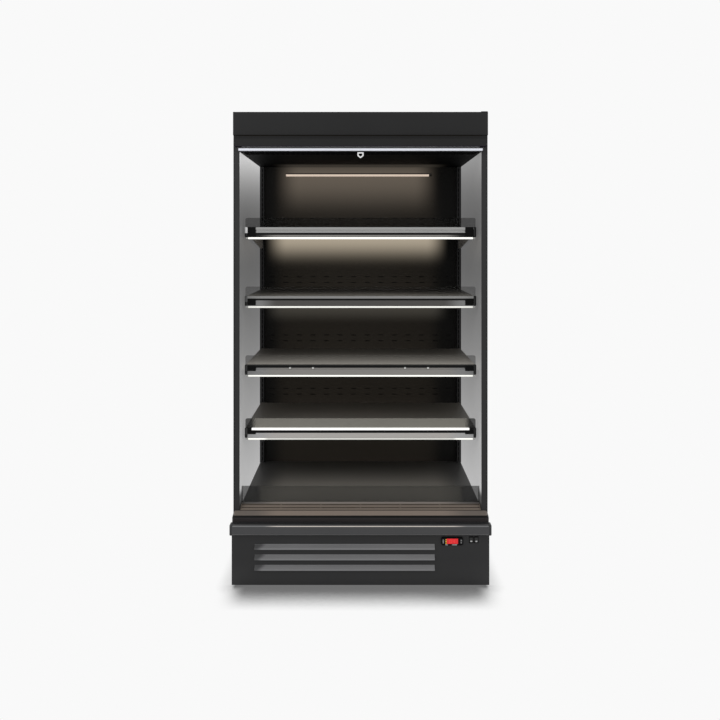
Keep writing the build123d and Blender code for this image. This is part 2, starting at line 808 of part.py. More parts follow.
# Return grille: wide slats between long slots, sloping down to the nose, with a rear flange on four legs
flange_top = channel_bottom - seat_gap
flange_back = deck_channel_y + deck_channel_width / 2
grille_front_y = panel_front + grille_setback
slope_run = grille_back - grille_thickness / 2 - grille_front_y
grille_half = between_liners - seat_gap
slope_plane = Plane(
    origin=(0, grille_front_y, grille_front_z),
    x_dir=(1, 0, 0),
    z_dir=(0, -(deck_top - grille_front_z), slope_run),
)
slope_length = (slope_run**2 + (deck_top - grille_front_z) ** 2) ** 0.5
with BuildPart() as return_grille:
    with BuildSketch(slope_plane):
        with Locations((0, slope_length / 2)):
            Rectangle(2 * grille_half, slope_length)
            for share in grille_slots:
                with Locations((0, (share - 0.5) * slope_length)):
                    Rectangle(2 * grille_half - 2 * grille_frame, grille_slot, mode=Mode.SUBTRACT)
            with GridLocations((2 * grille_half - grille_frame) / (grille_stays - 1), 0, grille_stays, 1):
                Rectangle(grille_frame, slope_length)
    extrude(amount=-grille_thickness)
    with BuildSketch(Plane.XY.offset(flange_top)):
        with Locations((0, grille_back)):
            Rectangle(2 * grille_half, grille_thickness, align=below)
    extrude(amount=deck_top - grille_thickness - flange_top)
    with BuildSketch(Plane.XY.offset(flange_top)):
        with Locations((0, flange_back)):
            Rectangle(
                2 * grille_half, flange_back - grille_back + grille_thickness, align=below
            )
    extrude(amount=-grille_thickness)
    with BuildSketch(Plane.XY.offset(tub_floor + seat_gap)):
        with Locations((0, flange_back - leg_width / 2)):
            with GridLocations((inner_width - 2 * leg_margin) / (leg_count - 1), 0, leg_count, 1):
                Rectangle(grille_thickness, leg_width)
    extrude(amount=flange_top - grille_thickness - tub_floor - seat_gap)
return_grille.part.label = "return_grille"
export_step(return_grille.part, "parts/return_grille.step")

with BuildPart() as front_nose:
    with BuildSketch(Plane.YZ.offset(-half_body)):
        nose_edge_y = panel_front - nose_top_depth
        with BuildLine():
            Polyline(
                (nose_edge_y, nose_edge_z),
                (panel_front - seat_gap, nose_back_z),
                (panel_front - seat_gap, nose_bottom_z),
                (base_face, nose_bottom_z),
                (base_face, nose_edge_z - nose_round),
            )
            TangentArc((base_face, nose_edge_z - nose_round), (nose_edge_y, nose_edge_z), tangent=(0, 1))
        make_face()
    extrude(amount=2 * half_body)
    fillet(front_nose.edges().filter_by(Axis.Z).group_by(Axis.Y)[0], nose_corner)
front_nose.part.label = "front_nose"
export_step(front_nose.part, "parts/front_nose.step")

with BuildPart() as bumper_rail:
    with BuildSketch(Plane.YZ.offset(-half_body - bumper_overhang)):
        with Locations((base_face - seat_gap, bumper_bottom_z)):
            Rectangle(bumper_depth - seat_gap, bumper_height, align=(Align.MAX, Align.MIN))
    extrude(amount=2 * (half_body + bumper_overhang))
    fillet(bumper_rail.edges().filter_by(Axis.X).group_by(Axis.Y)[0], bumper_round)
    fillet(bumper_rail.edges().filter_by(Axis.Z).group_by(Axis.Y)[0], bumper_round)
bumper_rail.part.label = "bumper_rail"
export_step(bumper_rail.part, "parts/bumper_rail.step")

# ---------------------------------------------------------------- base panel, louvres, controls
louvre_slot = louvre_width - 2 * louvre_slot_margin
with BuildPart() as base_front_panel:
    with BuildSketch(Plane.XY.offset(floor_gap)):
        with Locations((0, base_face)):
            Rectangle(2 * half_body, base_step, align=above)
        with Locations((0, base_face + sheet)):
            Rectangle(2 * (half_body - sheet), base_step, align=above, mode=Mode.SUBTRACT)
    extrude(amount=kick_top - floor_gap)
    for flange_z in (floor_gap, kick_top - sheet):
        with BuildSketch(Plane.XY.offset(flange_z)):
            with Locations((0, base_face)):
                Rectangle(2 * half_body, base_step / 2, align=above)
        extrude(amount=sheet)
    with BuildSketch(Plane.XZ.offset(-base_face)):
        for louvre_bottom in louvre_bottoms:
            with Locations((louvre_centre_x, louvre_bottom)):
                Rectangle(louvre_slot, louvre_slot_height, align=above)
        with Locations((control_x, control_z)):
            Rectangle(control_body_width + 2 * seat_gap, control_body_height + 2 * seat_gap)
        for x in rocker_x:
            with Locations((x, rocker_z)):
                Rectangle(
                    rocker_width + 2 * (switch_gap + switch_wall + seat_gap),
                    rocker_height + 2 * (2 * switch_gap + switch_wall + seat_gap),
                )
    extrude(amount=-sheet, mode=Mode.SUBTRACT)
base_front_panel.part.label = "base_front_panel"
export_step(base_front_panel.part, "parts/base_front_panel.step")

with BuildPart() as louvre_slats:
    for louvre_bottom in louvre_bottoms:
        louvre_top = louvre_bottom + louvre_height
        lip = base_face - louvre_reach
        with BuildSketch(Plane.YZ.offset(louvre_centre_x - louvre_width / 2)):
            with BuildLine():
                Polyline(
                    (base_face, louvre_top),
                    (base_face - sheet, louvre_top),
                    (base_face - sheet, louvre_top - louvre_flange),
                    (lip, louvre_bottom + louvre_lip),
                    (lip, louvre_bottom),
                    (lip + sheet, louvre_bottom),
                    (lip + sheet, louvre_bottom + louvre_lip),
                    (base_face, louvre_top - louvre_lip),
                    close=True,
                )
            make_face()
        extrude(amount=louvre_width)
        for side in (-1, 1):
            with BuildSketch(Plane.YZ.offset(louvre_centre_x + side * louvre_width / 2)):
                with BuildLine():
                    Polyline(
                        (base_face, louvre_top - louvre_flange),
                        (lip, louvre_bottom + louvre_lip),
                        (lip, louvre_bottom),
                        (base_face, louvre_bottom),
                        close=True,
                    )
                make_face()
            extrude(amount=-side * sheet)
louvre_slats.part.label = "louvre_slats"
export_step(louvre_slats.part, "parts/louvre_slats.step")

# The controller's bezel and body, and the frames that the two rockers are snapped into
with BuildPart() as control_housings:
    with BuildSketch(Plane.XZ.offset(-base_face)):
        with Locations((control_x, control_z)):
            RectangleRounded(control_width, control_height, control_height / 4)
    extrude(amount=control_proud)
    fillet(control_housings.faces().sort_by(Axis.Y)[0].edges(), control_edge)
    with BuildSketch(Plane.XZ.offset(-base_face)):
        with Locations((control_x, control_z)):
            Rectangle(control_body_width, control_body_height)
    extrude(amount=-control_body_depth)
    with BuildSketch(Plane.XZ.offset(-base_face + control_proud)):
        with Locations((control_x, control_z)):
            Rectangle(window_width, window_height)
    extrude(amount=-window_depth, mode=Mode.SUBTRACT)
    with BuildSketch(Plane.XZ.offset(-base_face + control_proud)):
        for side in (-1, 1):
            with Locations((control_x + side * key_offset, control_z)):
                Rectangle(key_width + 2 * switch_gap, key_height + 2 * switch_gap)
    extrude(amount=-(key_thickness + key_travel), mode=Mode.SUBTRACT)
    for x in rocker_x:
        sleeve_width = rocker_width + 2 * (switch_gap + switch_wall)
        sleeve_height = rocker_height + 2 * (2 * switch_gap + switch_wall)
        with BuildSketch(Plane.XZ.offset(-base_face)):
            with Locations((x, rocker_z)):
                Rectangle(sleeve_width + switch_rim_width, sleeve_height + switch_rim_height)
        extrude(amount=switch_bezel)
        with BuildSketch(Plane.XZ.offset(-base_face)):
            with Locations((x, rocker_z)):
                Rectangle(sleeve_width, sleeve_height)
        extrude(amount=-switch_depth)
        with BuildSketch(Plane.XZ.offset(-base_face + switch_bezel)):
            with Locations((x, rocker_z)):
                Rectangle(rocker_width + 2 * switch_gap, rocker_height + 4 * switch_gap)
        extrude(amount=-(switch_bezel + switch_depth - sheet), mode=Mode.SUBTRACT)
        with BuildSketch(Plane.YZ.offset(x - sleeve_width / 2)):
            with Locations((base_face + rocker_depth / 2, rocker_z)):
                Circle(rocker_pin_radius + running_gap)
        extrude(amount=sleeve_width, mode=Mode.SUBTRACT)
control_housings.part.label = "control_housings"
export_step(control_housings.part, "parts/control_housings.step")

for label, side in (("key_left", -1), ("key_right", 1)):
    with BuildPart() as key:
        with BuildSketch(Plane.XZ.offset(-base_face + control_proud + key_proud)):
            with Locations((control_x + side * key_offset, control_z)):
                RectangleRounded(key_width, key_height, key_corner)
        extrude(amount=-key_thickness)
    key.part.label = label
    export_step(key.part, f"parts/{label}.step")

for label, x in zip(("rocker_left", "rocker_right"), rocker_x):
    with BuildPart() as rocker:
        with BuildSketch(Plane.YZ.offset(x - rocker_width / 2)):
            with BuildLine():
                Polyline(
                    (base_face - switch_bezel, rocker_z + rocker_height / 2),
                    (base_face + rocker_depth, rocker_z + rocker_height / 2 - rocker_taper),
                    (base_face + rocker_depth, rocker_z - rocker_height / 2 + rocker_taper),
                    (base_face - switch_bezel, rocker_z - rocker_height / 2),
                    (base_face - switch_bezel / 2, rocker_z),
                    close=True,
                )
            make_face()
        extrude(amount=rocker_width)
        with BuildSketch(Plane.YZ.offset(x - rocker_width / 2 - switch_gap - switch_wall)):
            with Locations((base_face + rocker_depth / 2, rocker_z)):
                Circle(rocker_pin_radius)
        extrude(amount=rocker_width + 2 * (switch_gap + switch_wall))
    rocker.part.label = label
    export_step(rocker.part, f"parts/{label}.step")

# ---------------------------------------------------------------- base frame and feet
foot_places = (
    ("foot_front_left", -foot_x, foot_front_y),
    ("foot_front_right", foot_x, foot_front_y),
    ("foot_rear_left", -foot_x, foot_rear_y),
    ("foot_rear_right", foot_x, foot_rear_y),
)
frame_middle_y = (frame_front + frame_rear) / 2
frame_depth = frame_rear - frame_front
with BuildPart() as base_frame:
    with BuildSketch(Plane.XY.offset(frame_bottom)):
        with Locations((0, frame_middle_y)):
            Rectangle(2 * between_panels, frame_depth)
            Rectangle(2 * (between_panels - frame_width), frame_depth - 2 * frame_width, mode=Mode.SUBTRACT)
    extrude(amount=frame_height)
    with BuildSketch(Plane.XY.offset(frame_bottom)):
        with Locations((0, frame_middle_y)):
            Rectangle(2 * (between_panels - frame_wall), frame_depth - 2 * frame_wall)
            Rectangle(
                2 * (between_panels - frame_width + frame_wall),
                frame_depth - 2 * (frame_width - frame_wall),
                mode=Mode.SUBTRACT,
            )
    extrude(amount=frame_height - frame_wall, mode=Mode.SUBTRACT)
    with BuildSketch(Plane.XY.offset(frame_bottom)):
        with Locations((0, frame_middle_y)):
            Rectangle(2 * (between_panels - frame_width), frame_depth - 2 * frame_width)
    extrude(amount=floor_sheet_top - frame_bottom)
    with BuildSketch(Plane.XY.offset(frame_bottom)):
        with Locations([(x, y) for _, x, y in foot_places]):
            Circle(boss_radius)
    extrude(amount=boss_height)
    with BuildSketch(Plane.XY.offset(frame_bottom)):
        with Locations([(x, y) for _, x, y in foot_places]):
            Circle(stud_radius + running_gap)
    extrude(amount=boss_height, mode=Mode.SUBTRACT)
    with BuildSketch(Plane.XY.offset(frame_top)):
        with Locations([(x, y) for _, x, y in foot_places]):
            Rectangle(frame_width, frame_width)
            Rectangle(frame_width - 2 * frame_wall, frame_width - 2 * frame_wall, mode=Mode.SUBTRACT)
    extrude(amount=tub_bottom_z - seat_gap - frame_top)
base_frame.part.label = "base_frame"
export_step(base_frame.part, "parts/base_frame.step")

for label, x, y in foot_places:
    with BuildPart() as foot:
        with BuildSketch(Plane.XY):
            with Locations((x, y)):
                Circle(foot_radius)
        extrude(amount=foot_pad)
        with BuildSketch(Plane.XY.offset(foot_pad)):
            with Locations((x, y)):
                RegularPolygon(foot_collar_radius, 6)
        extrude(amount=foot_collar)
        with BuildSketch(Plane.XY.offset(foot_pad)):
            with Locations((x, y)):
                Circle(stud_radius)
        extrude(amount=foot_collar + stud_length)
    foot.part.label = label
    export_step(foot.part, f"parts/{label}.step")

# ---------------------------------------------------------------- fans and their motors
fans = (
    ("condenser_fan", condenser_fan_plane, condenser_fan_tip),
    ("evaporator_fan", evaporator_fan_plane, evaporator_fan_tip),
)
for label, plane, tip in fans:
    with BuildPart(plane) as fan:
        Cylinder(hub_radius, fan_depth)
        with Locations((0, 0, -fan_depth / 2)):
            Hole(shaft_radius + running_gap, depth=fan_depth - hub_cap)
        with PolarLocations((hub_radius + tip) / 2 - blade_root, blade_count):
            Box(tip - hub_radius + 2 * blade_root, blade_width, blade_thickness, rotation=(blade_pitch, 0, 0))
    fan.part.label = label
    export_step(fan.part, f"parts/{label}.step")

motor_top = -fan_depth / 2 - motor_offset
with BuildPart() as fan_motors:
    for plane in (condenser_fan_plane, evaporator_fan_plane):
        with BuildSketch(plane.offset(motor_top)):
            Circle(motor_radius)
        extrude(amount=-motor_depth)
        with BuildSketch(plane.offset(motor_top)):
            Circle(shaft_radius)
        extrude(amount=fan_depth + motor_offset - hub_cap - shaft_end_gap)
    # the condenser fan's motor stands on a foot
    with BuildSketch(Plane.XY.offset(plant_floor)):
        with Locations((condenser_x, condenser_fan_y - motor_top + motor_depth / 2)):
            Rectangle(2 * motor_radius, motor_foot_sheet)
    extrude(amount=condenser_fan_z - motor_radius / 2 - plant_floor)
    with BuildSketch(Plane.XY.offset(plant_floor)):
        with Locations((condenser_x, condenser_fan_y - motor_top + motor_depth / 2)):
            Rectangle(3 * motor_radius, motor_foot_depth)
    extrude(amount=motor_foot_sheet)
    # the evaporator fan's motor hangs from two arms under the fan plate
    arm_length = evaporator_fan_tip + fan_ring_gap + motor_arm
    with BuildSketch(evaporator_fan_plane.offset(motor_top)):
        Rectangle(2 * arm_length, motor_arm)
    extrude(amount=-motor_foot_sheet)
    with BuildSketch(evaporator_fan_plane.offset(motor_top)):
        with GridLocations(2 * arm_length - motor_arm, 0, 2, 1):
            Rectangle(motor_arm, motor_arm)
    extrude(amount=-motor_top - sheet - seat_gap)
fan_motors.part.label = "fan_motors"
export_step(fan_motors.part, "parts/fan_motors.step")

# Inclined plate that the evaporator fan blows through, with a skirt down to the tub's floor
with BuildPart() as evaporator_fan_plate:
    with BuildSketch(evaporator_fan_plane):
        Rectangle(2 * between_liners - 2 * seat_gap, fan_plate_length)
        Circle(evaporator_fan_tip + fan_ring_gap, mode=Mode.SUBTRACT)
    extrude(amount=-sheet)
    plate_foot_y = evaporator_fan_y - fan_plate_length / 2 * cos(tilt)
    plate_foot_z = evaporator_fan_z - fan_plate_length / 2 * sin(tilt)
    with BuildSketch(Plane.XY.offset(tub_floor + seat_gap)):
        with Locations((0, plate_foot_y)):
            Rectangle(2 * between_liners - 2 * seat_gap, sheet, align=above)
    extrude(amount=plate_foot_z - tub_floor - sheet)
evaporator_fan_plate.part.label = "evaporator_fan_plate"
export_step(evaporator_fan_plate.part, "parts/evaporator_fan_plate.step")

# ---------------------------------------------------------------- coils: fins and end plates on tubes
coil_base = tub_floor + seat_gap
coils = (
    (
        "evaporator_coil",
        (0, (evaporator_front + evaporator_rear) / 2),
        (evaporator_width, evaporator_rear - evaporator_front, evaporator_height),
        coil_base,
        evaporator_tube_counts,
    ),
    (
        "condenser_coil",
        (condenser_x, condenser_y),
        (condenser_width, condenser_depth, condenser_height),
        plant_floor,
        condenser_tube_counts,
    ),
)
for label, (x, y), (width, depth, height), base, (tubes_deep, tubes_high) in coils:
    with BuildPart() as coil:
        fin_count = int((width - 2 * fin_pitch) / fin_pitch) + 1
        with BuildSketch(Plane.XY.offset(base + fin_lift)):
            with Locations((x, y)):
                with GridLocations(fin_pitch, 0, fin_count, 1):
                    Rectangle(fin_thickness, depth)
        extrude(amount=height - fin_lift)
        with BuildSketch(Plane.XY.offset(base)):
            with Locations((x, y)):
                with GridLocations(width - coil_plate, 0, 2, 1):
                    Rectangle(coil_plate, depth)
        extrude(amount=height)
        with BuildSketch(Plane.YZ.offset(x - width / 2)):
            with Locations((y, base + (fin_lift + height) / 2)):
                tube_rise = (height - fin_lift) / tubes_high
                with GridLocations(depth / tubes_deep, tube_rise, tubes_deep, tubes_high):
                    Circle(coil_tube_radius)
        extrude(amount=width)
    coil.part.label = label
    export_step(coil.part, f"parts/{label}.step")

# ---------------------------------------------------------------- compressor, pipes, drain
shell_bottom = floor_sheet_top + compressor_lift
shell_middle = shell_bottom + compressor_height / 2
foot_reach = grommet_pitch / 2 + compressor_plate_margin
plate_bottom = shell_bottom - compressor_plate
with BuildPart() as compressor:
    with BuildSketch(Plane.XY.offset(shell_bottom)):
        with Locations((compressor_x, compressor_y)):
            Circle(compressor_radius)
    extrude(amount=compressor_height)
    fillet(compressor.edges().filter_by(GeomType.CIRCLE), compressor_radius / 3)
    with BuildSketch(Plane.XY.offset(plate_bottom)):
        with Locations((compressor_x, compressor_y)):
            RectangleRounded(2 * foot_reach, 2 * foot_reach, compressor_plate_margin)
    extrude(amount=1.5 * compressor_plate)
    with BuildSketch(Plane.XY.offset(plant_floor)):
        with Locations((compressor_x, compressor_y)):
            with GridLocations(grommet_pitch, grommet_pitch, 2, 2):
                Circle(grommet_radius)
    extrude(amount=plate_bottom - plant_floor)
    with BuildSketch(Plane.XZ.offset(-compressor_y + compressor_radius - terminal_corner)):
        with Locations((compressor_x, shell_middle)):
            RectangleRounded(terminal_width, terminal_height, terminal_corner)
    extrude(amount=terminal_depth + terminal_corner)
compressor.part.label = "compressor"
export_step(compressor.part, "parts/compressor.step")

discharge_z = shell_middle + discharge_rise
discharge_x = condenser_x + condenser_width / 2 + seat_gap
discharge_turn_x = (discharge_x + compressor_x - compressor_radius) / 2
discharge_y = condenser_y
suction_z = shell_middle
with BuildPart() as pipework:
    with BuildLine() as discharge_path:
        FilletPolyline(
            (compressor_x - compressor_radius - seat_gap, compressor_y, discharge_z),
            (discharge_turn_x, compressor_y, discharge_z),
            (discharge_turn_x, discharge_y, discharge_z),
            (discharge_x, discharge_y, discharge_z),
            radius=pipe_bend,
        )
    with BuildSketch(Plane(discharge_path.line @ 0, z_dir=discharge_path.line % 0)):
        Circle(pipe_radius)
    sweep(path=discharge_path.line)
    with BuildLine() as suction_path:
        FilletPolyline(
            (compressor_x + compressor_radius + seat_gap, compressor_y, suction_z),
            (pipe_x, compressor_y, suction_z),
            (pipe_x, compressor_y, tub_floor + suction_rise),
            radius=pipe_bend,
        )
    with BuildSketch(Plane(suction_path.line @ 0, z_dir=suction_path.line % 0)):
        Circle(pipe_radius)
    sweep(path=suction_path.line)
    drain_end = plant_floor + drain_tray_height + drain_drop
    with BuildSketch(Plane.XY.offset(drain_end)):
        with Locations((drain_x, drain_tray_y)):
            Circle(drain_radius)
            Circle(drain_radius - drain_wall, mode=Mode.SUBTRACT)
    extrude(amount=tub_floor - drain_end)
pipework.part.label = "pipework"
export_step(pipework.part, "parts/pipework.step")

with BuildPart() as drain_tray:
    with BuildSketch(Plane.XY.offset(plant_floor)):
        with Locations((drain_tray_x, drain_tray_y)):
            RectangleRounded(drain_tray_length, drain_tray_width, drain_tray_corner)
    extrude(amount=drain_tray_height)
    with BuildSketch(Plane.XY.offset(plant_floor + drain_wall)):
        with Locations((drain_tray_x, drain_tray_y)):
            RectangleRounded(
                drain_tray_length - 2 * drain_wall,
                drain_tray_width - 2 * drain_wall,
                drain_tray_corner - drain_wall,
            )
    extrude(amount=drain_tray_height, mode=Mode.SUBTRACT)
drain_tray.part.label = "drain_tray"
export_step(drain_tray.part, "parts/drain_tray.step")

# ---------------------------------------------------------------- rear cover and cable gland
cover_bottom = frame_bottom + seat_gap
cover_top = tub_bottom_z - seat_gap
cover_middle = (cover_bottom + cover_top) / 2
with BuildPart() as rear_base_grille:
    with BuildSketch(Plane.XZ.offset(-frame_rear)):
        with Locations((0, cover_middle)):
            Rectangle(2 * between_panels, cover_top - cover_bottom)
        with Locations((-grille_vent_length, cover_middle)):
            with GridLocations(
                1.5 * grille_vent_length, 3 * grille_vent_height, grille_vent_columns, grille_vent_rows
            ):
                SlotOverall(grille_vent_length, grille_vent_height, mode=Mode.SUBTRACT)
        with Locations((gland_x, gland_z)):
            Circle(gland_radius, mode=Mode.SUBTRACT)
    extrude(amount=-sheet)
rear_base_grille.part.label = "rear_base_grille"
export_step(rear_base_grille.part, "parts/rear_base_grille.step")

with BuildPart() as cable_gland:
    with BuildSketch(Plane.XZ.offset(-frame_rear - sheet)):
        with Locations((gland_x, gland_z)):
            RegularPolygon(gland_radius + gland_nut, 6)
    extrude(amount=-gland_nut)
    with BuildSketch(Plane.XZ.offset(-frame_rear + gland_inside)):
        with Locations((gland_x, gland_z)):
            Circle(gland_radius - seat_gap)
    extrude(amount=-gland_length)
    with BuildSketch(Plane.XZ.offset(-frame_rear + gland_inside)):
        with Locations((gland_x, gland_z)):
            Circle(gland_radius / 2)
    extrude(amount=-2 * gland_length, mode=Mode.SUBTRACT)
cable_gland.part.label = "cable_gland"
export_step(cable_gland.part, "parts/cable_gland.step")
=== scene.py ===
from math import cos, pi, radians, sin, tau

import bmesh
import bpy
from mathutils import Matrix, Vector


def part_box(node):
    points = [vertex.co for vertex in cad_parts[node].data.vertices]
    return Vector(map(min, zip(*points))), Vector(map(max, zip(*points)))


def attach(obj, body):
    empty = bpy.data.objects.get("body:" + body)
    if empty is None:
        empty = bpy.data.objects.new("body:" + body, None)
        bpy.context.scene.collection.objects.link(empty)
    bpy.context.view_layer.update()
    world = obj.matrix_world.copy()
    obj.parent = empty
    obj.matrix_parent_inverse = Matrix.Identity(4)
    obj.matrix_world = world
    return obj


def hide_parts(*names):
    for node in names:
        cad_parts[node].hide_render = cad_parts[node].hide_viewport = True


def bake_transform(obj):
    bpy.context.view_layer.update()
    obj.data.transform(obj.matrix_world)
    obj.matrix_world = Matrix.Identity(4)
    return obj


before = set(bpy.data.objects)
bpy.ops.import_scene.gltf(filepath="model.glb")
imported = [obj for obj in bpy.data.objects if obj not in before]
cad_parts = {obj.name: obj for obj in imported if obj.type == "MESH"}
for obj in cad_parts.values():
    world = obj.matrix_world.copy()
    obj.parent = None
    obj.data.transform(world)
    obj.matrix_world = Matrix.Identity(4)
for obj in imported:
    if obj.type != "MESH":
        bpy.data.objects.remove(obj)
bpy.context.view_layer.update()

# ---------------------------------------------------------------- camera
# A level camera at chest height, straight in front. The view is shifted down to take in the whole
# cabinet without tilting, so its upright edges stay upright.
lens_pixels, image_pixels, sensor_width = 670.9, 720, 36
eye, level = (0, -3.186, 1.46), (radians(90), 0, 0)
camera = bpy.data.objects.new("camera", bpy.data.cameras.new("camera"))
camera.data.sensor_width = sensor_width
camera.data.lens = sensor_width * lens_pixels / image_pixels
camera.data.shift_x, camera.data.shift_y = -0.0007, -0.1653
camera.location, camera.rotation_euler = eye, level
bpy.context.scene.collection.objects.link(camera)
bpy.context.scene.camera = camera


# ---------------------------------------------------------------- studio
# A plain off-white room with soft light from all round and two large soft lamps. The floor shows the
# off-white of the room and keeps a short contact shadow, which is weaker beside the cabinet.
def add(tree, kind, sockets=None, **settings):
    """A new shader or geometry node, with its settings, and its sockets set or linked."""
    made = tree.nodes.new(kind)
    for key, value in settings.items():
        setattr(made, key, value)
    for key, value in (sockets or {}).items():
        if isinstance(value, bpy.types.NodeSocket):
            tree.links.new(value, made.inputs[key])
        else:
            made.inputs[key].default_value = value
    return made


def maths(tree, operation, *values):
    """The output of a Math node on one to three values."""
    return add(tree, "ShaderNodeMath", dict(enumerate(values)), operation=operation).outputs[0]


def times(tree, *values):
    """The product of two or more values."""
    product = values[0]
    for value in values[1:]:
        product = maths(tree, "MULTIPLY", product, value)
    return product


def ramp(tree, value, start, end, low=0.0, high=1.0):
    """low before start, high after end, and a straight line between them."""
    return add(tree, "ShaderNodeMapRange", {"Value": value, "From Min": start, "From Max": end, "To Min": low,
                                            "To Max": high}).outputs[0]


def between(tree, value, start, end):
    """0 before start, 1 after end, and smooth between them. With start over end it falls."""
    return add(tree, "ShaderNodeMapRange", {"Value": value, "From Min": start, "From Max": end},
               interpolation_type="SMOOTHSTEP").outputs[0]


def toned(tree, colour, share, other):
    """colour, turned into another colour by a share."""
    return add(tree, "ShaderNodeMix", {0: share, 6: colour, 7: other}, data_type="RGBA").outputs[2]


def two_ways(tree, light, shown):
    """One shader for the light that the room gives, and another for what camera, mirrors and glass see."""
    path = add(tree, "ShaderNodeLightPath").outputs
    seen = maths(tree, "MAXIMUM", path["Is Camera Ray"], path["Is Glossy Ray"])
    seen = maths(tree, "MAXIMUM", seen, path["Is Transmission Ray"])
    return add(tree, "ShaderNodeMixShader", {0: seen, 1: light.outputs[0], 2: shown.outputs[0]}).outputs[0]


room_white, room_strength = (0.948, 0.948, 0.948, 1), 0.62
room = bpy.data.worlds.new("room")
bpy.context.scene.world = room
room.use_nodes = True
tree = room.node_tree
tree.nodes.clear()
room_light = add(tree, "ShaderNodeBackground", {"Color": (1, 1, 1, 1), "Strength": room_strength})
room_shown = add(tree, "ShaderNodeBackground", {"Color": room_white, "Strength": 1.0})
add(tree, "ShaderNodeOutputWorld", {"Surface": two_ways(tree, room_light, room_shown)})

# lamp: its place, size in metres and watts
lamps = {"lamp_left": ((-2.6, -3.4, 3.3), 2.6, 62), "lamp_right": ((2.9, -3.0, 2.4), 2.2, 30)}
lit_point = Vector((0, 0, 1))
for label, (place, size, watts) in lamps.items():
    lamp = bpy.data.objects.new(label, bpy.data.lights.new(label, "AREA"))
    lamp.data.shape, lamp.data.size, lamp.data.energy = "SQUARE", size, watts
    lamp.location = place
    lamp.rotation_mode = "QUATERNION"
    lamp.rotation_quaternion = (Vector(place) - lit_point).to_track_quat("Z", "Y")
    bpy.context.scene.collection.objects.link(lamp)

floor_paint = bpy.data.materials.new("floor_paint")
floor_paint.use_nodes = True
tree = floor_paint.node_tree
tree.nodes.clear()


def shadow(tree, reach, darkest, clear, falloff):
    """How dark the floor is near what stands on it, from how open it is round about."""
    openness = add(tree, "ShaderNodeAmbientOcclusion", {"Distance": reach}, samples=12).outputs["AO"]
    return maths(tree, "SUBTRACT", 1.0, maths(tree, "POWER", ramp(tree, openness, darkest, clear), falloff))


shadow_grey, floor_grey, floor_half = (0.16, 0.16, 0.16, 1), (0.7, 0.7, 0.7, 1), 30
wide_ends, wide_back = (0.598, 0.480), (-0.33, -0.28)
beside_cabinet, behind_front, weakening = (0.530, 0.545), (-0.385, -0.335), 0.62
xyz = add(tree, "ShaderNodeSeparateXYZ", {0: add(tree, "ShaderNodeTexCoord").outputs["Object"]}).outputs
across = maths(tree, "ABSOLUTE", xyz[0])
wide = times(tree, shadow(tree, 0.185, 0.58, 0.98, 2.1), between(tree, across, *wide_ends),
             ramp(tree, xyz[1], *wide_back, 1.0, 0.0))
narrow = shadow(tree, 0.075, 0.45, 0.98, 1.6)
beside = times(tree, ramp(tree, across, *beside_cabinet), ramp(tree, xyz[1], *behind_front, 0.0, weakening))
dark = times(tree, maths(tree, "MAXIMUM", wide, narrow), maths(tree, "SUBTRACT", 1.0, beside))
floor_tone = toned(tree, shadow_grey, maths(tree, "SUBTRACT", 1.0, dark), room_white)
floor_shown = add(tree, "ShaderNodeEmission", {"Color": floor_tone})
floor_light = add(tree, "ShaderNodeBsdfDiffuse", {"Color": floor_grey})
add(tree, "ShaderNodeOutputMaterial", {"Surface": two_ways(tree, floor_light, floor_shown)})
floor_corners = [(x * floor_half, y * floor_half, 0) for x, y in ((-1, -1), (1, -1), (1, 1), (-1, 1))]
floor_mesh = bpy.data.meshes.new("floor")
floor_mesh.from_pydata(floor_corners, [], [(0, 1, 2, 3)])
floor_mesh.materials.append(floor_paint)
floor = bpy.data.objects.new("floor", floor_mesh)
bpy.context.scene.collection.objects.link(floor)
bpy.context.scene.view_settings.view_transform = "Standard"


# ---------------------------------------------------------------- end panels
# Foam-cored panels with satin dark grey powder coat. Each is one plain slab from top to floor,
# screwed to the frame from inside, with a folded and rounded front edge.
def grey(tone):
    return (tone, tone, tone, 1)


def coating(name, colour, roughness, metallic=0.0, specular=0.25, grain=1400.0, depth=0.03, mottle=0.08):
    """A sprayed, rolled or moulded finish: fine bump, and slightly uneven colour and gloss.
    It returns the material, its tree, its shader, its colour and the x, y and z of the surface."""
    made = bpy.data.materials.new(name)
    made.use_nodes = True
    tree = made.node_tree
    tree.nodes.clear()
    place = add(tree, "ShaderNodeTexCoord").outputs["Object"]
    fine = add(tree, "ShaderNodeTexNoise", {"Vector": place, "Scale": grain, "Detail": 2.0}).outputs[0]
    broad = add(tree, "ShaderNodeTexNoise", {"Vector": place, "Scale": 2.6, "Detail": 4.0}).outputs[0]
    uneven = ramp(tree, maths(tree, "MULTIPLY_ADD", fine, 0.35, broad), 0.4, 0.95)
    colour = toned(tree, (*[part * (1 - mottle) for part in colour], 1), uneven,
                   (*[part * (1 + mottle) for part in colour], 1))
    gloss = ramp(tree, broad, 0.3, 0.7, roughness * 0.9, roughness * 1.1)
    relief = add(tree, "ShaderNodeBump", {"Height": fine, "Strength": depth, "Distance": 0.001}).outputs[0]
    shader = add(tree, "ShaderNodeBsdfPrincipled", {
        "Base Color": colour, "Roughness": gloss, "Metallic": metallic, "Specular IOR Level": specular,
        "Normal": relief})
    add(tree, "ShaderNodeOutputMaterial", {"Surface": shader.outputs[0]})
    return made, tree, shader, colour, add(tree, "ShaderNodeSeparateXYZ", {0: place}).outputs


def paint(tree, shader, colour, glow=None, strength=None):
    """Gives the shader a toned colour, and a glow if it has one."""
    for label, value in (("Base Color", colour), ("Emission Color", glow), ("Emission Strength", strength)):
        if isinstance(value, bpy.types.NodeSocket):
            tree.links.new(value, shader.inputs[label])
        elif value is not None:
            shader.inputs[label].default_value = value


def dress(material, *nodes):
    """Gives CAD nodes their finish."""
    for name in nodes:
        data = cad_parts[name].data
        if not data.materials:
            data.materials.append(material)
        for place in range(len(data.materials)):
            data.materials[place] = material


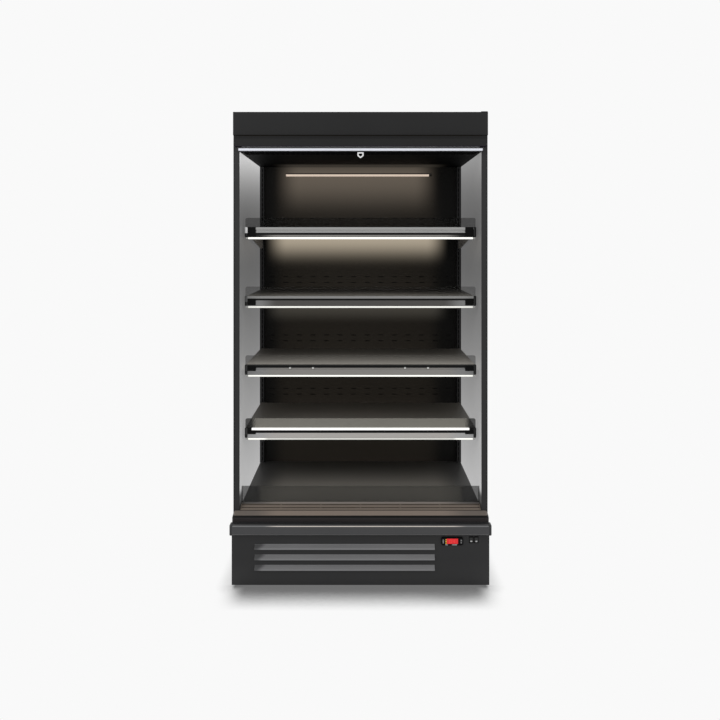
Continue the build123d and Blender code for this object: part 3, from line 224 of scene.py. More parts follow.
panel_grey, edge_shade_tone = (0.0165, 0.0165, 0.017), (0.006, 0.006, 0.007, 1)
front_edge, outer_edge = (-0.317, -0.3195), (0.534, 0.5405)
end_panel_paint, tree, shader, colour, xyz = coating("end_panel_paint", panel_grey, 0.42)
# painted shade darkens the rounded outer front edge
on_shaded_edge = times(tree, between(tree, xyz[1], *front_edge),
                between(tree, maths(tree, "ABSOLUTE", xyz[0]), *outer_edge))
paint(tree, shader, toned(tree, colour, on_shaded_edge, edge_shade_tone))
dress(end_panel_paint, "end_panel_left", "end_panel_right")

# ---------------------------------------------------------------- side liners
# Brushed stainless sheet, bonded to the inner faces of the end panels. The brushing runs up and down. Its
# bright tone
# is painted light: the glow of the lights under the canopy and above the deck, painted into its colour and
# its own glow.
brush_across, brush_along, brush_share = 900.0, 6.0, 0.10
liner_steel, tree, shader, colour, xyz = coating(
    "liner_steel", (0.5, 0.5, 0.505), 0.45, metallic=0.3, grain=500.0, depth=0.015)
stretch = add(tree, "ShaderNodeCombineXYZ", {
    0: times(tree, xyz[0], brush_across), 1: times(tree, xyz[1], brush_across),
    2: times(tree, xyz[2], brush_along)}).outputs[0]
brushing = add(tree, "ShaderNodeTexNoise", {"Vector": stretch, "Scale": 1.0, "Detail": 3.0}).outputs[0]
# the bands of light fan out from mid height towards the front
fan_height, fan_middle, fan_slope = 1.46, -0.045, -0.31
fan = times(tree, maths(tree, "SUBTRACT", xyz[1], fan_middle), fan_slope)
lit_height = maths(tree, "MULTIPLY_ADD", maths(tree, "SUBTRACT", xyz[2], fan_height), fan, xyz[2])
# light: where it starts, where it is full and how fast it grows. The upper one is stronger at the left
upper_light, upper_growth, upper_left, upper_right = (1.50, 1.84), 2.6, 0.55, 0.215
lower_light, lower_growth, lower_strength, everywhere = (1.35, 0.32), 1.35, 0.39, 0.141
left_to_right, depth_slope, depth_level = (-0.1, 0.1), 0.50, 1.038
upper_strength = ramp(tree, xyz[0], *left_to_right, upper_left, upper_right)
upper = maths(tree, "POWER", ramp(tree, lit_height, *upper_light), upper_growth)
lower = maths(tree, "POWER", ramp(tree, lit_height, *lower_light), lower_growth)
lit = maths(tree, "MULTIPLY_ADD", lower, lower_strength, everywhere)
lit = maths(tree, "MULTIPLY_ADD", upper, upper_strength, lit)
lit = times(tree, lit, maths(tree, "MULTIPLY_ADD", brushing, brush_share, 1 - brush_share / 2))
lit = times(tree, lit, maths(tree, "MULTIPLY_ADD", xyz[1], depth_slope, depth_level))
# painted shade makes it dark beside the grille and under the deck, and shaded beside the deck's riser
grille_y, grille_z, deck_z, deck_shade = (-0.262, -0.285), (0.350, 0.320), (0.322, 0.312), 0.93
riser_y, riser_z, riser_shade = (-0.245, -0.262), (0.402, 0.362), 0.85
beside_grille = times(tree, between(tree, xyz[2], *grille_z), between(tree, xyz[1], *grille_y))
below_deck = maths(tree, "MAXIMUM", beside_grille, between(tree, xyz[2], *deck_z))
beside_riser = times(tree, between(tree, xyz[2], *riser_z), between(tree, xyz[1], *riser_y))
for shaded, depth in ((below_deck, deck_shade), (beside_riser, riser_shade)):
    lit = times(tree, lit, maths(tree, "MULTIPLY_ADD", shaded, -depth, 1.0))
steel_share, steel_blue, glow_share = 0.9, 1.01, 0.79
tone = times(tree, lit, steel_share)
colour = add(tree, "ShaderNodeCombineColor", {0: tone, 1: tone, 2: times(tree, tone, steel_blue)}).outputs[0]
paint(tree, shader, colour, grey(1.0), times(tree, lit, glow_share))
dress(liner_steel, "side_liners")

# ---------------------------------------------------------------- rear wall, back panel, uprights
# The rear wall is foam-cored. The dark perforated panel in front of it closes the air duct; the glow of the
# lights on it is painted in, as its own glow. Two grey slotted channels stand in the corners.
sheet_joint_z, joint_line = 1.08, (0.0016, 0.0008)
rear_paint, tree, shader, colour, xyz = coating("rear_paint", (0.035, 0.035, 0.036), 0.5)
from_joint = maths(tree, "ABSOLUTE", maths(tree, "SUBTRACT", xyz[2], sheet_joint_z))
paint(tree, shader, toned(tree, colour, between(tree, from_joint, *joint_line), grey(0.004)))
dress(rear_paint, "rear_wall")


def piece(name, shape, body, material, smooth=False):
    """A bmesh or mesh as a piece of the object. It rides on a CAD body, when it is given one."""
    mesh = mesh_from(name, shape, smooth) if isinstance(shape, bmesh.types.BMesh) else shape
    made = bpy.data.objects.new(name, mesh)
    bpy.context.scene.collection.objects.link(made)
    mesh.materials.clear()
    mesh.materials.append(material)
    if body:
        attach(made, body)
    return made


def mesh_from(name, shape, smooth=False):
    """A mesh from a bmesh, with its doubles merged and its faces turned outwards."""
    bmesh.ops.remove_doubles(shape, verts=shape.verts, dist=1e-6)
    bmesh.ops.recalc_face_normals(shape, faces=shape.faces)
    mesh = bpy.data.meshes.new(name)
    shape.to_mesh(mesh)
    shape.free()
    mesh.polygons.foreach_set("use_smooth", [smooth] * len(mesh.polygons))
    return mesh


def extruded_x(shape, outline, start, end, rounding=0.0, segments=2):
    """Adds an outline of (y, z) points, pulled from start to end along X, with its edges rounded."""
    first = [shape.verts.new((start, y, z)) for y, z in outline]
    last = [shape.verts.new((end, y, z)) for y, z in outline]
    faces = [shape.faces.new(first), shape.faces.new(last[::-1])]
    for place in range(len(outline)):
        after = (place + 1) % len(outline)
        faces.append(shape.faces.new((first[place], last[place], last[after], first[after])))
    if rounding:
        edges = list({edge for face in faces for edge in face.edges})
        bmesh.ops.bevel(shape, geom=edges, offset=rounding, segments=segments, affect="EDGES", profile=0.6)


def block(shape, xs, ys, zs, rounding=0.0, segments=2):
    """Adds a block between two values on each axis, with its edges rounded."""
    outline = [(ys[0], zs[0]), (ys[0], zs[1]), (ys[1], zs[1]), (ys[1], zs[0])]
    extruded_x(shape, outline, *xs, rounding, segments)


def geometry_tree(name, inputs):
    """A Geometry Nodes tree with named inputs, and the sockets of its group input."""
    tree = bpy.data.node_groups.new(name, "GeometryNodeTree")
    tree.interface.new_socket("Geometry", in_out="INPUT", socket_type="NodeSocketGeometry")
    for label, kind in inputs:
        tree.interface.new_socket(label, in_out="INPUT", socket_type="NodeSocket" + kind)
    tree.interface.new_socket("Geometry", in_out="OUTPUT", socket_type="NodeSocketGeometry")
    return tree, add(tree, "NodeGroupInput").outputs


# one run of fixings: an even grid of points on a face, with the fixing's head out and its spin at random
rows_of_fixings, given = geometry_tree("rows_of_fixings", (
    ("Fixing", "Object"), ("Finish", "Material"), ("Centre", "Vector"), ("Facing", "Vector"),
    ("Columns", "Int"), ("Rows", "Int"), ("Width", "Float"), ("Height", "Float"), ("Spin", "Float")))
tree = rows_of_fixings
points = add(tree, "GeometryNodeMeshGrid", {"Size X": given["Width"], "Size Y": given["Height"],
                                            "Vertices X": given["Columns"], "Vertices Y": given["Rows"]})
facing = add(tree, "FunctionNodeEulerToRotation", {0: given["Facing"]}).outputs[0]
placed = add(tree, "GeometryNodeTransform", {"Geometry": points.outputs[0], "Translation": given["Centre"],
                                             "Rotation": facing})
spin_share = add(tree, "FunctionNodeRandomValue", {"Seed": 11}, data_type="FLOAT").outputs[1]
spin = add(tree, "FunctionNodeAxisAngleToRotation", {"Angle": times(tree, spin_share, given["Spin"])})
turned = add(tree, "FunctionNodeRotateRotation", {"Rotation": facing, "Rotate By": spin.outputs[0]},
             rotation_space="LOCAL")
fixing = add(tree, "GeometryNodeObjectInfo", {"Object": given["Fixing"]}).outputs["Geometry"]
fixed = add(tree, "GeometryNodeInstanceOnPoints", {"Points": placed.outputs[0], "Instance": fixing,
                                                   "Rotation": turned.outputs[0]})
together = add(tree, "GeometryNodeJoinGeometry", {0: given["Geometry"]})
tree.links.new(fixed.outputs[0], together.inputs[0])
real = add(tree, "GeometryNodeRealizeInstances", {"Geometry": together.outputs[0]})
finished = add(tree, "GeometryNodeSetMaterial", {"Geometry": real.outputs[0], "Material": given["Finish"]})
add(tree, "NodeGroupOutput", {0: finished.outputs[0]})


def fixings(name, body, finish, slot, fixing, spin, *runs):
    """Fixings of one shape as one plain mesh. A run is (centre, facing, columns, rows, width, height)."""
    host = bpy.data.objects.new(name, bpy.data.meshes.new(name))
    bpy.context.scene.collection.objects.link(host)
    for run in runs:
        values = dict(zip(("Centre", "Facing", "Columns", "Rows", "Width", "Height"), run))
        values.update(Fixing=fixing, Finish=finish, Spin=spin)
        modifier = host.modifiers.new("run", "NODES")
        modifier.node_group = rows_of_fixings
        for item in rows_of_fixings.interface.items_tree:
            if item.in_out == "INPUT" and item.name in values:
                modifier[item.identifier] = values[item.name]
    mesh = bpy.data.meshes.new_from_object(host.evaluated_get(bpy.context.evaluated_depsgraph_get()))
    bpy.data.objects.remove(host)
    mesh.name = name
    piece(name, mesh, body, finish)


def fixing_head(name, profile, socket_rings=0):
    """A fixing's head with its axis on Z, from rings of (radius, height). The last can be a star socket."""
    sides, star_share = 12, 0.62
    shape = bmesh.new()
    rings = []
    for place, (radius, height) in enumerate(profile):
        star = place >= len(profile) - socket_rings
        ring = []
        for side in range(sides):
            reach = radius * (star_share if star and side % 2 else 1.0)
            angle = tau * side / sides
            ring.append(shape.verts.new((reach * cos(angle), reach * sin(angle), height)))
        rings.append(ring)
    for inner, outer in zip(rings, rings[1:]):
        for side in range(sides):
            after = (side + 1) % sides
            shape.faces.new((inner[side], inner[after], outer[after], outer[side]))
    shape.faces.new(rings[0][::-1])
    shape.faces.new(rings[-1])
    return bpy.data.objects.new(name, mesh_from(name, shape))


# domed steel rivets along the edges and the joint of the rear sheet, and along the edges of the roof
rivet = fixing_head("rivet_head", ((0.0036, -0.0003), (0.0036, 0.0003), (0.0031, 0.0011), (0.0020, 0.0017),
                                   (0.0008, 0.0019)))
screw = fixing_head("screw_head", ((0.0042, -0.0003), (0.0042, 0.0007), (0.0037, 0.0017), (0.0028, 0.0021),
                                   (0.0017, 0.0022), (0.0017, 0.0009)), socket_rings=2)
wall_low, wall_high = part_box("rear_wall")
roof_low, roof_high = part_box("canopy_shell")
rivet_inset, rivet_rows, rivet_columns, roof_rows, joint_width = 0.022, 11, 9, 5, 0.030
corner_gap, roof_gap = 0.16, 0.10
outward_back, outward_up = (radians(-90), 0, 0), (0, 0, 0)
wall_middle = (0, wall_high.y, (wall_low.z + wall_high.z) / 2)
wall_width = wall_high.x - wall_low.x - 2 * rivet_inset
wall_height = wall_high.z - wall_low.z - 2 * rivet_inset
roof_middle = (0, (roof_low.y + roof_high.y) / 2, roof_high.z)
roof_depth = roof_high.y - roof_low.y - 2 * rivet_inset - roof_gap
zinc_plate = coating(
    "zinc_plate", (0.34, 0.34, 0.33), 0.35, metallic=0.9, specular=0.5, grain=300.0, depth=0.01)[0]
fixings("sheet_rivets", "cabinet", zinc_plate, "foot_zinc", rivet, 0.0,
        (wall_middle, outward_back, 2, rivet_rows, wall_width, wall_height - corner_gap),
        (wall_middle, outward_back, rivet_columns, 2, wall_width, wall_height),
        ((0, wall_high.y, sheet_joint_z), outward_back, rivet_columns, 2, wall_width, joint_width),
        (roof_middle, outward_up, 2, roof_rows, wall_width, roof_depth))
# screws hold the rear grille, and one is at each end of the blind's cassette
cover_low, cover_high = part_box("rear_base_grille")
cover_middle = (0, cover_high.y, (cover_low.z + cover_high.z) / 2)
screw_columns, inset_across, inset_up, behind_middle = 5, 0.03, 0.018, 0.004
cassette_low, cassette_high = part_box("blind_cassette")
cassette_y = (cassette_low.y + cassette_high.y) / 2 - behind_middle
cassette_z = (cassette_low.z + cassette_high.z) / 2
fixings("cover_screws", "cabinet", zinc_plate, "foot_zinc", screw, pi,
        (cover_middle, outward_back, screw_columns, 2, cover_high.x - cover_low.x - inset_across,
         cover_high.z - cover_low.z - inset_up),
        ((cassette_high.x, cassette_y, cassette_z), (0, radians(90), 0), 1, 1, 0.0, 0.0),
        ((cassette_low.x, cassette_y, cassette_z), (0, radians(-90), 0), 1, 1, 0.0, 0.0))

duct_paint, tree, shader, colour, xyz = coating("duct_paint", (0.042, 0.036, 0.029), 0.55, specular=0.12)
glow_centre, side_shade, side_shade_tone = -0.02, (0.36, 0.45), (0.014, 0.0135, 0.0125, 1)
faint_glow, faint_width = (0.0036, 0.0029, 0.0021, 1), (0.47, 0.28)
# above its brightest height a glow fades to a rest, unless a shelf is there
fade_above, fade_rest, shelf_above = (0.115, 0.01), 0.22, (0.04, 0.02)
from_glow = maths(tree, "ABSOLUTE", maths(tree, "SUBTRACT", xyz[0], glow_centre))
# painted shade darkens the panel towards its sides, and a faint painted glow lies over its middle
colour = toned(tree, colour, between(tree, from_glow, *side_shade), side_shade_tone)
glow = toned(tree, grey(0), between(tree, from_glow, *faint_width), faint_glow)
# glow: the heights where it is brightest and where it ends, its half width and the softness of its ends,
# its strength and warmth, how fast it grows, and whether the shelf above cuts it off
for brightest, end, half_width, soft, strength, warmth, growth, cut_off in (
        (1.785, 1.550, 0.430, 0.14, 0.105, (1.0, 0.83, 0.66), 1.3, False),
        (1.470, 1.285, 0.475, 0.12, 0.385, (1.0, 0.86, 0.66), 2.25, True),
        (1.118, 1.025, 0.485, 0.10, 0.038, (1.0, 0.93, 0.78), 1.2, True)):
    rise = maths(tree, "POWER", between(tree, xyz[2], end, brightest), growth)
    fall = between(tree, xyz[2], *[brightest + step for step in fade_above])
    fall = maths(tree, "MAXIMUM", fall, fade_rest)
    share = times(tree, rise, fall, between(tree, from_glow, half_width, half_width - soft))
    if cut_off:
        share = times(tree, share, between(tree, xyz[2], *[brightest + step for step in shelf_above]))
    lamp_glow = toned(tree, grey(0), share, (*[strength * part for part in warmth], 1))
    glow = add(tree, "ShaderNodeMix", {0: 1.0, 6: glow, 7: lamp_glow}, data_type="RGBA",
               blend_type="ADD").outputs[2]
paint(tree, shader, colour, glow, 1.0)
dress(duct_paint, "back_panel")
dress(coating("upright_paint", (0.040, 0.040, 0.041), 0.45)[0], "slotted_uprights")

# ---------------------------------------------------------------- canopy
# A foamed roof with the air duct in it. The black plastic grid under its front straightens the air
# curtain, and a folded front band in dark grey paint covers the header.
inside_z, inside_tone, roof_warmth = (1.9600, 1.9590), (0.0030, 0.0030, 0.0032, 1), (1.0, 0.85, 0.68, 1)
batten_x, batten_y, batten_z, batten_glow = (0.45, 0.32), (0.11, 0.20), (1.842, 1.8405), 0.038
header_y, header_z, header_glow = (-0.290, -0.310), (1.880, 1.890), 0.011
canopy_paint, tree, shader, colour, xyz = coating("canopy_paint", panel_grey, 0.65, specular=0.05)
colour = toned(tree, colour, between(tree, xyz[2], *inside_z), inside_tone)
# painted light: a warm glow on the roof near the batten, and a faint one on the header over the cassette
near_batten = times(tree, between(tree, xyz[1], *batten_y), between(tree, xyz[2], *batten_z),
                    between(tree, maths(tree, "ABSOLUTE", xyz[0]), *batten_x))
over_cassette = times(tree, between(tree, xyz[1], *header_y), between(tree, xyz[2], *header_z))
paint(tree, shader, colour, roof_warmth,
      maths(tree, "MULTIPLY_ADD", near_batten, batten_glow, times(tree, over_cassette, header_glow)))
dress(canopy_paint, "canopy_shell")
dress(coating("grid_plastic", (0.004, 0.004, 0.0043), 0.7, specular=0.05)[0], "outlet_grid")

top_fold = (2.0055, 2.0085)
fascia_paint, tree, shader, colour, xyz = coating(
    "fascia_paint", (0.0182, 0.0182, 0.0184), 0.45, specular=0.12)
paint(tree, shader, toned(tree, colour, between(tree, xyz[2], *top_fold), grey(0.009)))
dress(fascia_paint, "canopy_fascia")

# ---------------------------------------------------------------- night blind
# A spring roller in a folded cassette. Its woven, aluminised cloth ends in a satin aluminium bar with
# plastic end caps and a soft white pull loop.
cassette_lip, lip_tone = (1.8645, 1.8620), (0.013, 0.010, 0.016, 1)
# painted shade: a darker band along the top of the cassette, under its seam with the fascia
seam_shade_band, seam_shade_tone = (1.8900, 1.8945), (0.0092, 0.0092, 0.0094, 1)
cassette_paint, tree, shader, colour, xyz = coating(
    "cassette_paint", (0.0156, 0.0156, 0.0158), 0.45, specular=0.12)
colour = toned(tree, colour, between(tree, xyz[2], *cassette_lip), lip_tone)
paint(tree, shader, toned(tree, colour, between(tree, xyz[2], *seam_shade_band), seam_shade_tone))
dress(cassette_paint, "blind_cassette")

# a painted shadow of the cassette's lip darkens the bar's upper edge
lip_shadow_band, lip_shadow_tone = (1.8510, 1.8532), (0.045, 0.045, 0.048, 1)
bar_metal, tree, shader, colour, xyz = coating(
    "bar_metal", (0.79, 0.81, 0.88), 0.5, metallic=0.15, specular=0.4, grain=300.0, depth=0.01, mottle=0.03)
paint(tree, shader, toned(tree, colour, between(tree, xyz[2], *lip_shadow_band), lip_shadow_tone))
dress(bar_metal, "blind_bar")
# the loop's neck under the bar is painted near black, as painted shade
shaded_neck = (1.8358, 1.8364)
loop_plastic, tree, shader, colour, xyz = coating(
    "loop_plastic", (0.86, 0.86, 0.86), 0.35, specular=0.5, depth=0.01, mottle=0.03)
paint(tree, shader, toned(tree, colour, between(tree, xyz[2], *shaded_neck), grey(0.004)))
dress(loop_plastic, "pull_loop")

# the cloth hangs from the roller to the bar, in even rows of faces, with a front and a back
thread, weave_depth, thread_tone = 0.0011, 0.0002, (0.16, 0.165, 0.17, 1)
cloth_weave, tree, shader, colour, xyz = coating(
    "cloth_weave", (0.42, 0.43, 0.45), 0.5, metallic=0.35, grain=700.0)
warp = maths(tree, "SINE", times(tree, xyz[0], tau / thread))
weft = maths(tree, "SINE", times(tree, xyz[2], tau / thread))
weave = times(tree, warp, weft)
bump = add(tree, "ShaderNodeBump", {"Height": weave, "Strength": 0.35, "Distance": weave_depth})
tree.links.new(bump.outputs[0], shader.inputs["Normal"])
paint(tree, shader, toned(tree, colour, maths(tree, "MULTIPLY_ADD", weave, 0.2, 0.3), thread_tone))
cloth_low, cloth_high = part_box("blind_cloth")
cloth_rows, cloth_columns, cloth_half = 48, 24, 0.0003
cloth_y = (cloth_low.y + cloth_high.y) / 2
cloth_width, cloth_drop = cloth_high.x - cloth_low.x, cloth_high.z - cloth_low.z
shape = bmesh.new()
grid = []
for row in range(cloth_rows + 1):
    z = cloth_low.z + cloth_drop * row / cloth_rows
    xs = [cloth_low.x + cloth_width * column / cloth_columns for column in range(cloth_columns + 1)]
    grid.append([[shape.verts.new((x, cloth_y + side * cloth_half, z)) for x in xs] for side in (-1, 1)])
for row in range(cloth_rows):
    for side in (0, 1):
        for column in range(cloth_columns):
            shape.faces.new((grid[row][side][column], grid[row][side][column + 1],
                             grid[row + 1][side][column + 1], grid[row + 1][side][column]))
    for column in (0, cloth_columns):
        shape.faces.new((grid[row][0][column], grid[row][1][column], grid[row + 1][1][column],
                         grid[row + 1][0][column]))
for row in (0, cloth_rows):
    for column in range(cloth_columns):
        shape.faces.new((grid[row][0][column], grid[row][0][column + 1], grid[row][1][column + 1],
                         grid[row][1][column]))
cloth = piece("night_blind_cloth", shape, None, cloth_weave)
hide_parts("blind_cloth")
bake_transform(cloth)
dress(cloth_weave, "blind_roller")

cap_plastic = coating("cap_plastic", (0.010, 0.010, 0.011), 0.4, specular=0.4)[0]
bar_low, bar_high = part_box("blind_bar")
cap_length, cap_beyond, cap_proud = 0.006, 0.0012, 0.0005
shape = bmesh.new()
for side in (-1, 1):
    end = side * (bar_high.x + cap_beyond)
    block(shape, (end - side * cap_length, end), (bar_low.y - cap_proud, bar_high.y + cap_proud),
          (bar_low.z - cap_proud, bar_high.z + cap_proud), rounding=0.0011)
piece("blind_bar_caps", shape, "blind", cap_plastic)

# ---------------------------------------------------------------- batten light over the top bay
# A slim warm LED batten, clipped to the back panel just under the canopy. A lit cap lengthens it at the
# left, and its lead goes in through a dark cap at the right.
lens_height, dark_cap, left_cap = 0.0095, 0.015, 0.0165
body_tone, lens_glow = (0.060, 0.052, 0.045, 1), (0.60, 0.48, 0.39, 1)
batten_lens, tree, shader, colour, xyz = coating(
    "batten_lens", (0.5, 0.45, 0.4), 0.4, depth=0.005, mottle=0.02)
low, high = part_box("back_light")
lens_end, lens_top = high.x - dark_cap, low.z + lens_height
on_lens = times(tree, between(tree, xyz[0], lens_end + 0.001, lens_end),
                between(tree, xyz[2], lens_top + 0.0005, lens_top - 0.0005))
paint(tree, shader, toned(tree, body_tone, on_lens, colour), lens_glow, on_lens)
dress(batten_lens, "back_light")
shape = bmesh.new()
extruded_x(shape, [(high.y, low.z), (high.y, high.z), (low.y, high.z), (low.y, (low.z + high.z) / 2),
                   ((low.y + high.y) / 2, low.z)], low.x, low.x - left_cap, rounding=0.0006)
piece("batten_left_cap", shape, "cabinet", batten_lens)

# ---------------------------------------------------------------- shelves
# Grey brown coated pans on two brackets that hook into the uprights. Each has a moulded price rail
# with dark end caps, a white LED tube under it and a clear riser in its top groove.
sleeve_plastic = coating("sleeve_plastic", (0.003, 0.003, 0.003), 0.4, specular=0.06)[0]
rail_half, sleeve_half, cap_half = 0.456, 0.4915, 0.5045


def riser_sheet(name, tone, alpha, lit_half):
    """Clear acrylic that darkens or veils what is behind it by a little; its tone is a painted veil of light,
    and its dark ends are painted shade.
    """
    made, tree, shader, colour, xyz = coating(
        name, (tone * 1.04, tone, tone * 0.88), 0.08, specular=0.08, depth=0.0, mottle=0.02)
    shader.inputs["Alpha"].default_value = alpha
    ends = between(tree, maths(tree, "ABSOLUTE", xyz[0]), lit_half, lit_half + 0.03)
    paint(tree, shader, toned(tree, colour, ends, grey(0.020)))
    return made


# pan: its colour at the front and the painted shade it fades to at the rear, both set shelf by shelf for the
# light that falls on them, and the painted light of the shelf above on it, as its strength, how strong it is
# at the edge, and where that edge starts and is full
pan_fade, bracket_drop, bare_steel = (-0.250, 0.120), (0.040, 0.043), grey(0.32)
pool_fade, pool_warmth = (0.215, -0.250), (1.0, 0.94, 0.86, 1)
pans = {
    1: ((0.40, 0.375, 0.33), (0.055, 0.052, 0.046, 1), 0.0, 0.0, (0, 0)),
    2: ((0.40, 0.375, 0.33), (0.055, 0.052, 0.046, 1), 0.02, 0.5, (-0.080, -0.120)),
    3: ((0.40, 0.375, 0.33), (0.125, 0.115, 0.100, 1), 0.36, 0.9, (-0.2405, -0.2435)),
    4: ((0.150, 0.142, 0.130), (0.125, 0.115, 0.100, 1), 0.0, 0.0, (0, 0))}
for number, (front_tone, rear_shade_tone, pool, edge_share, pan_edge) in pans.items():
    shelf_paint, tree, shader, colour, xyz = coating(f"shelf_paint_{number}", front_tone, 0.5, specular=0.3)
    toward_shaded_back = maths(tree, "POWER", between(tree, xyz[1], *pan_fade), 0.8)
    colour = toned(tree, colour, toward_shaded_back, rear_shade_tone)
    # the brackets under the pan are bare steel
    pan_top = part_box(f"shelf_{number}_pan")[1].z
    on_bracket = between(tree, xyz[2], pan_top - bracket_drop[0], pan_top - bracket_drop[1])
    paint(tree, shader, toned(tree, colour, on_bracket, bare_steel))
    if pool:
        edge_light = times(tree, between(tree, xyz[1], *pan_edge), edge_share)
        front_light = maths(tree, "POWER", ramp(tree, xyz[1], *pool_fade), 4.0)
        pooled = times(tree, maths(tree, "ADD", front_light, edge_light), pool)
        paint(tree, shader, None, pool_warmth, pooled)
    dress(shelf_paint, f"shelf_{number}_pan")

# rail: the tone of its bead, which is a painted highlight, and its painted glow, where the bead and the
# groove under it end, the tones of the ticket face at its ends and in its middle, with painted reflections
# and highlights that differ shelf by shelf, the tube, the painted highlight on the end cap, the riser's tone,
# a painted veil of light, and its alpha, where the sleeve starts above the rail's foot, and how far it stops
# under the rail's top
rails = {
    1: (0.36, 0.00, 0.0240, 0.0335, 0.012, 0.235, 1.00, 0.85, 0.004, 0.34, 0.004, -0.0008),
    2: (0.26, 0.00, 0.0105, 0.0185, 0.220, 0.082, 0.56, 0.10, 0.010, 0.24, 0.004, 0.0105),
    3: (0.02, 0.00, 0.0030, 0.0125, 0.230, 0.250, 0.74, 0.03, 0.070, 0.32, 0.018, 0.0030),
    4: (1.00, 0.62, 0.0085, 0.0210, 0.400, 0.450, 0.40, 0.03, 0.262, 0.60, 0.018, 0.0085)}
ticket_ends, tube_ends, riser_lit_half, cap_highlight_drop = (0.36, 0.45), (0.4905, 0.4885), 0.45, (0.027, 0.024)
groove_blur, bead_blur, bead_lit_ends, tube_lit_ends = 0.001, 0.0008, (0.476, 0.471), (0.400, 0.425)
sleeve_proud, sleeve_short = 0.0012, 0.002
cap_front, cap_back, cap_foot, cap_top = 0.0016, 0.0008, 0.002, 0.001
for number, row in rails.items():
    bead_highlight_tone, bead_glow, bead_end, groove_end, ticket_side, ticket, tube, cap_highlight_tone, veil, clearness, foot, head = row
    low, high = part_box(f"shelf_{number}_rail")
    rail_plastic, tree, shader, colour, xyz = coating(
        f"rail_plastic_{number}", (ticket, ticket * 0.96, ticket * 0.91), 0.35, specular=0.10, grain=600.0,
        depth=0.01, mottle=0.04)
    across = maths(tree, "ABSOLUTE", xyz[0])
    drop = maths(tree, "SUBTRACT", high.z, xyz[2])
    colour = toned(tree, colour, between(tree, across, *ticket_ends), grey(ticket_side))
    on_groove = between(tree, drop, groove_end + groove_blur, groove_end - groove_blur)
    colour = toned(tree, colour, on_groove, grey(0.003))
    on_bead = between(tree, drop, bead_end + bead_blur, bead_end - bead_blur)
    if bead_glow:
        on_bead = times(tree, on_bead, between(tree, across, *bead_lit_ends))
    colour = toned(tree, colour, on_bead, (bead_highlight_tone, bead_highlight_tone, bead_highlight_tone * 0.98, 1))
    paint(tree, shader, colour, (1.0, 1.0, 0.97, 1), times(tree, on_bead, bead_glow))
    dress(rail_plastic, f"shelf_{number}_rail")

    tube_lens, tree, shader, colour, xyz = coating(
        f"tube_lens_{number}", (0.5, 0.5, 0.48), 0.4, depth=0.005, mottle=0.02)
    across = maths(tree, "ABSOLUTE", xyz[0])
    tube_glow = times(tree, between(tree, across, *tube_ends), tube)
    if bead_glow:
        # this tube is brighter at its ends
        at_ends = between(tree, across, *tube_lit_ends)
        tube_glow = times(tree, tube_glow, maths(tree, "MULTIPLY_ADD", at_ends, 1.2, 0.8))
    paint(tree, shader, None, (1.0, 1.0, 0.93, 1), tube_glow)
    dress(tube_lens, f"shelf_{number}_light")
    dress(riser_sheet(f"riser_clear_{number}", veil, clearness, riser_lit_half), f"shelf_{number}_riser")

    # a dark sleeve joins the rail to its rounded end cap
    sleeves, caps = bmesh.new(), bmesh.new()
    for side in (-1, 1):
        block(sleeves, (side * rail_half, side * sleeve_half), (low.y - sleeve_proud, high.y - sleeve_short),
              (low.z + foot, high.z - head), rounding=0.0012)
        block(caps, (side * (sleeve_half + 0.0001), side * cap_half), (low.y - cap_front, high.y + cap_back),
              (low.z + cap_foot, high.z + cap_top), rounding=0.0040, segments=3)
    piece(f"shelf_{number}_sleeves", sleeves, f"shelf_{number}", sleeve_plastic)
    end_cap, tree, shader, colour, xyz = coating(f"end_cap_{number}", (cap_highlight_tone, cap_highlight_tone, cap_highlight_tone), 0.25, specular=0.2)
    # painted highlight: the upper part of the left cap is painted in the lighter tone
    cap_highlight = times(tree, between(tree, maths(tree, "SUBTRACT", high.z, xyz[2]), *cap_highlight_drop),
                 between(tree, xyz[0], *left_to_right[::-1]))
    paint(tree, shader, toned(tree, grey(0.010), cap_highlight, colour))
    piece(f"shelf_{number}_caps", caps, f"shelf_{number}", end_cap, smooth=True)

# four small white clips hold the tickets of the third shelf
clip_white = coating("clip_white", (0.62, 0.62, 0.60), 0.3, specular=0.4, depth=0.01)[0]
clip_outline = [(0.0035, -0.0006), (-0.0028, -0.0006), (-0.0034, 0.0000), (-0.0034, 0.0014),
                (-0.0020, 0.0014), (-0.0018, 0.0006), (0.0035, 0.0006)]
clip_half, clip_pitch, clip_drop, clip_pairs = 0.0040, 0.100, 0.0130, (-0.257, 0.244)
shape = bmesh.new()
extruded_x(shape, clip_outline, -clip_half, clip_half, rounding=0.0003, segments=1)
clip = bpy.data.objects.new("clip_shape", mesh_from("clip_shape", shape))
low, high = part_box("shelf_3_rail")
clip_runs = [((x, low.y + 0.0005, high.z - clip_drop), (radians(90), 0, 0), 2, 1, clip_pitch, 0.0)
             for x in clip_pairs]
fixings("ticket_clips", "shelf_3", clip_white, "white_plastic", clip, 0.0, *clip_runs)

# ---------------------------------------------------------------- deck
# The loose deck tray is a folded pan in the same coat as the shelves. It lies on the back panel's ledge
# and the return grille's rear flange, and the channel along its front holds a tall clear riser.
deck_depth, deck_rear_shade_tone = (-0.15, 0.24), (0.085, 0.080, 0.072, 1)
deck_lip, deck_lip_tone = (-0.2800, -0.2835), (0.22, 0.195, 0.175, 1)
deck_side_shade, side_shade_share, deck_glow, deck_warmth = (0.34, 0.47), 0.8, 0.016, (1.0, 0.95, 0.86, 1)
deck_paint, tree, shader, colour, xyz = coating(
    "deck_paint", (0.235, 0.22, 0.195), 0.5, specular=0.3, depth=0.003, mottle=0.03)
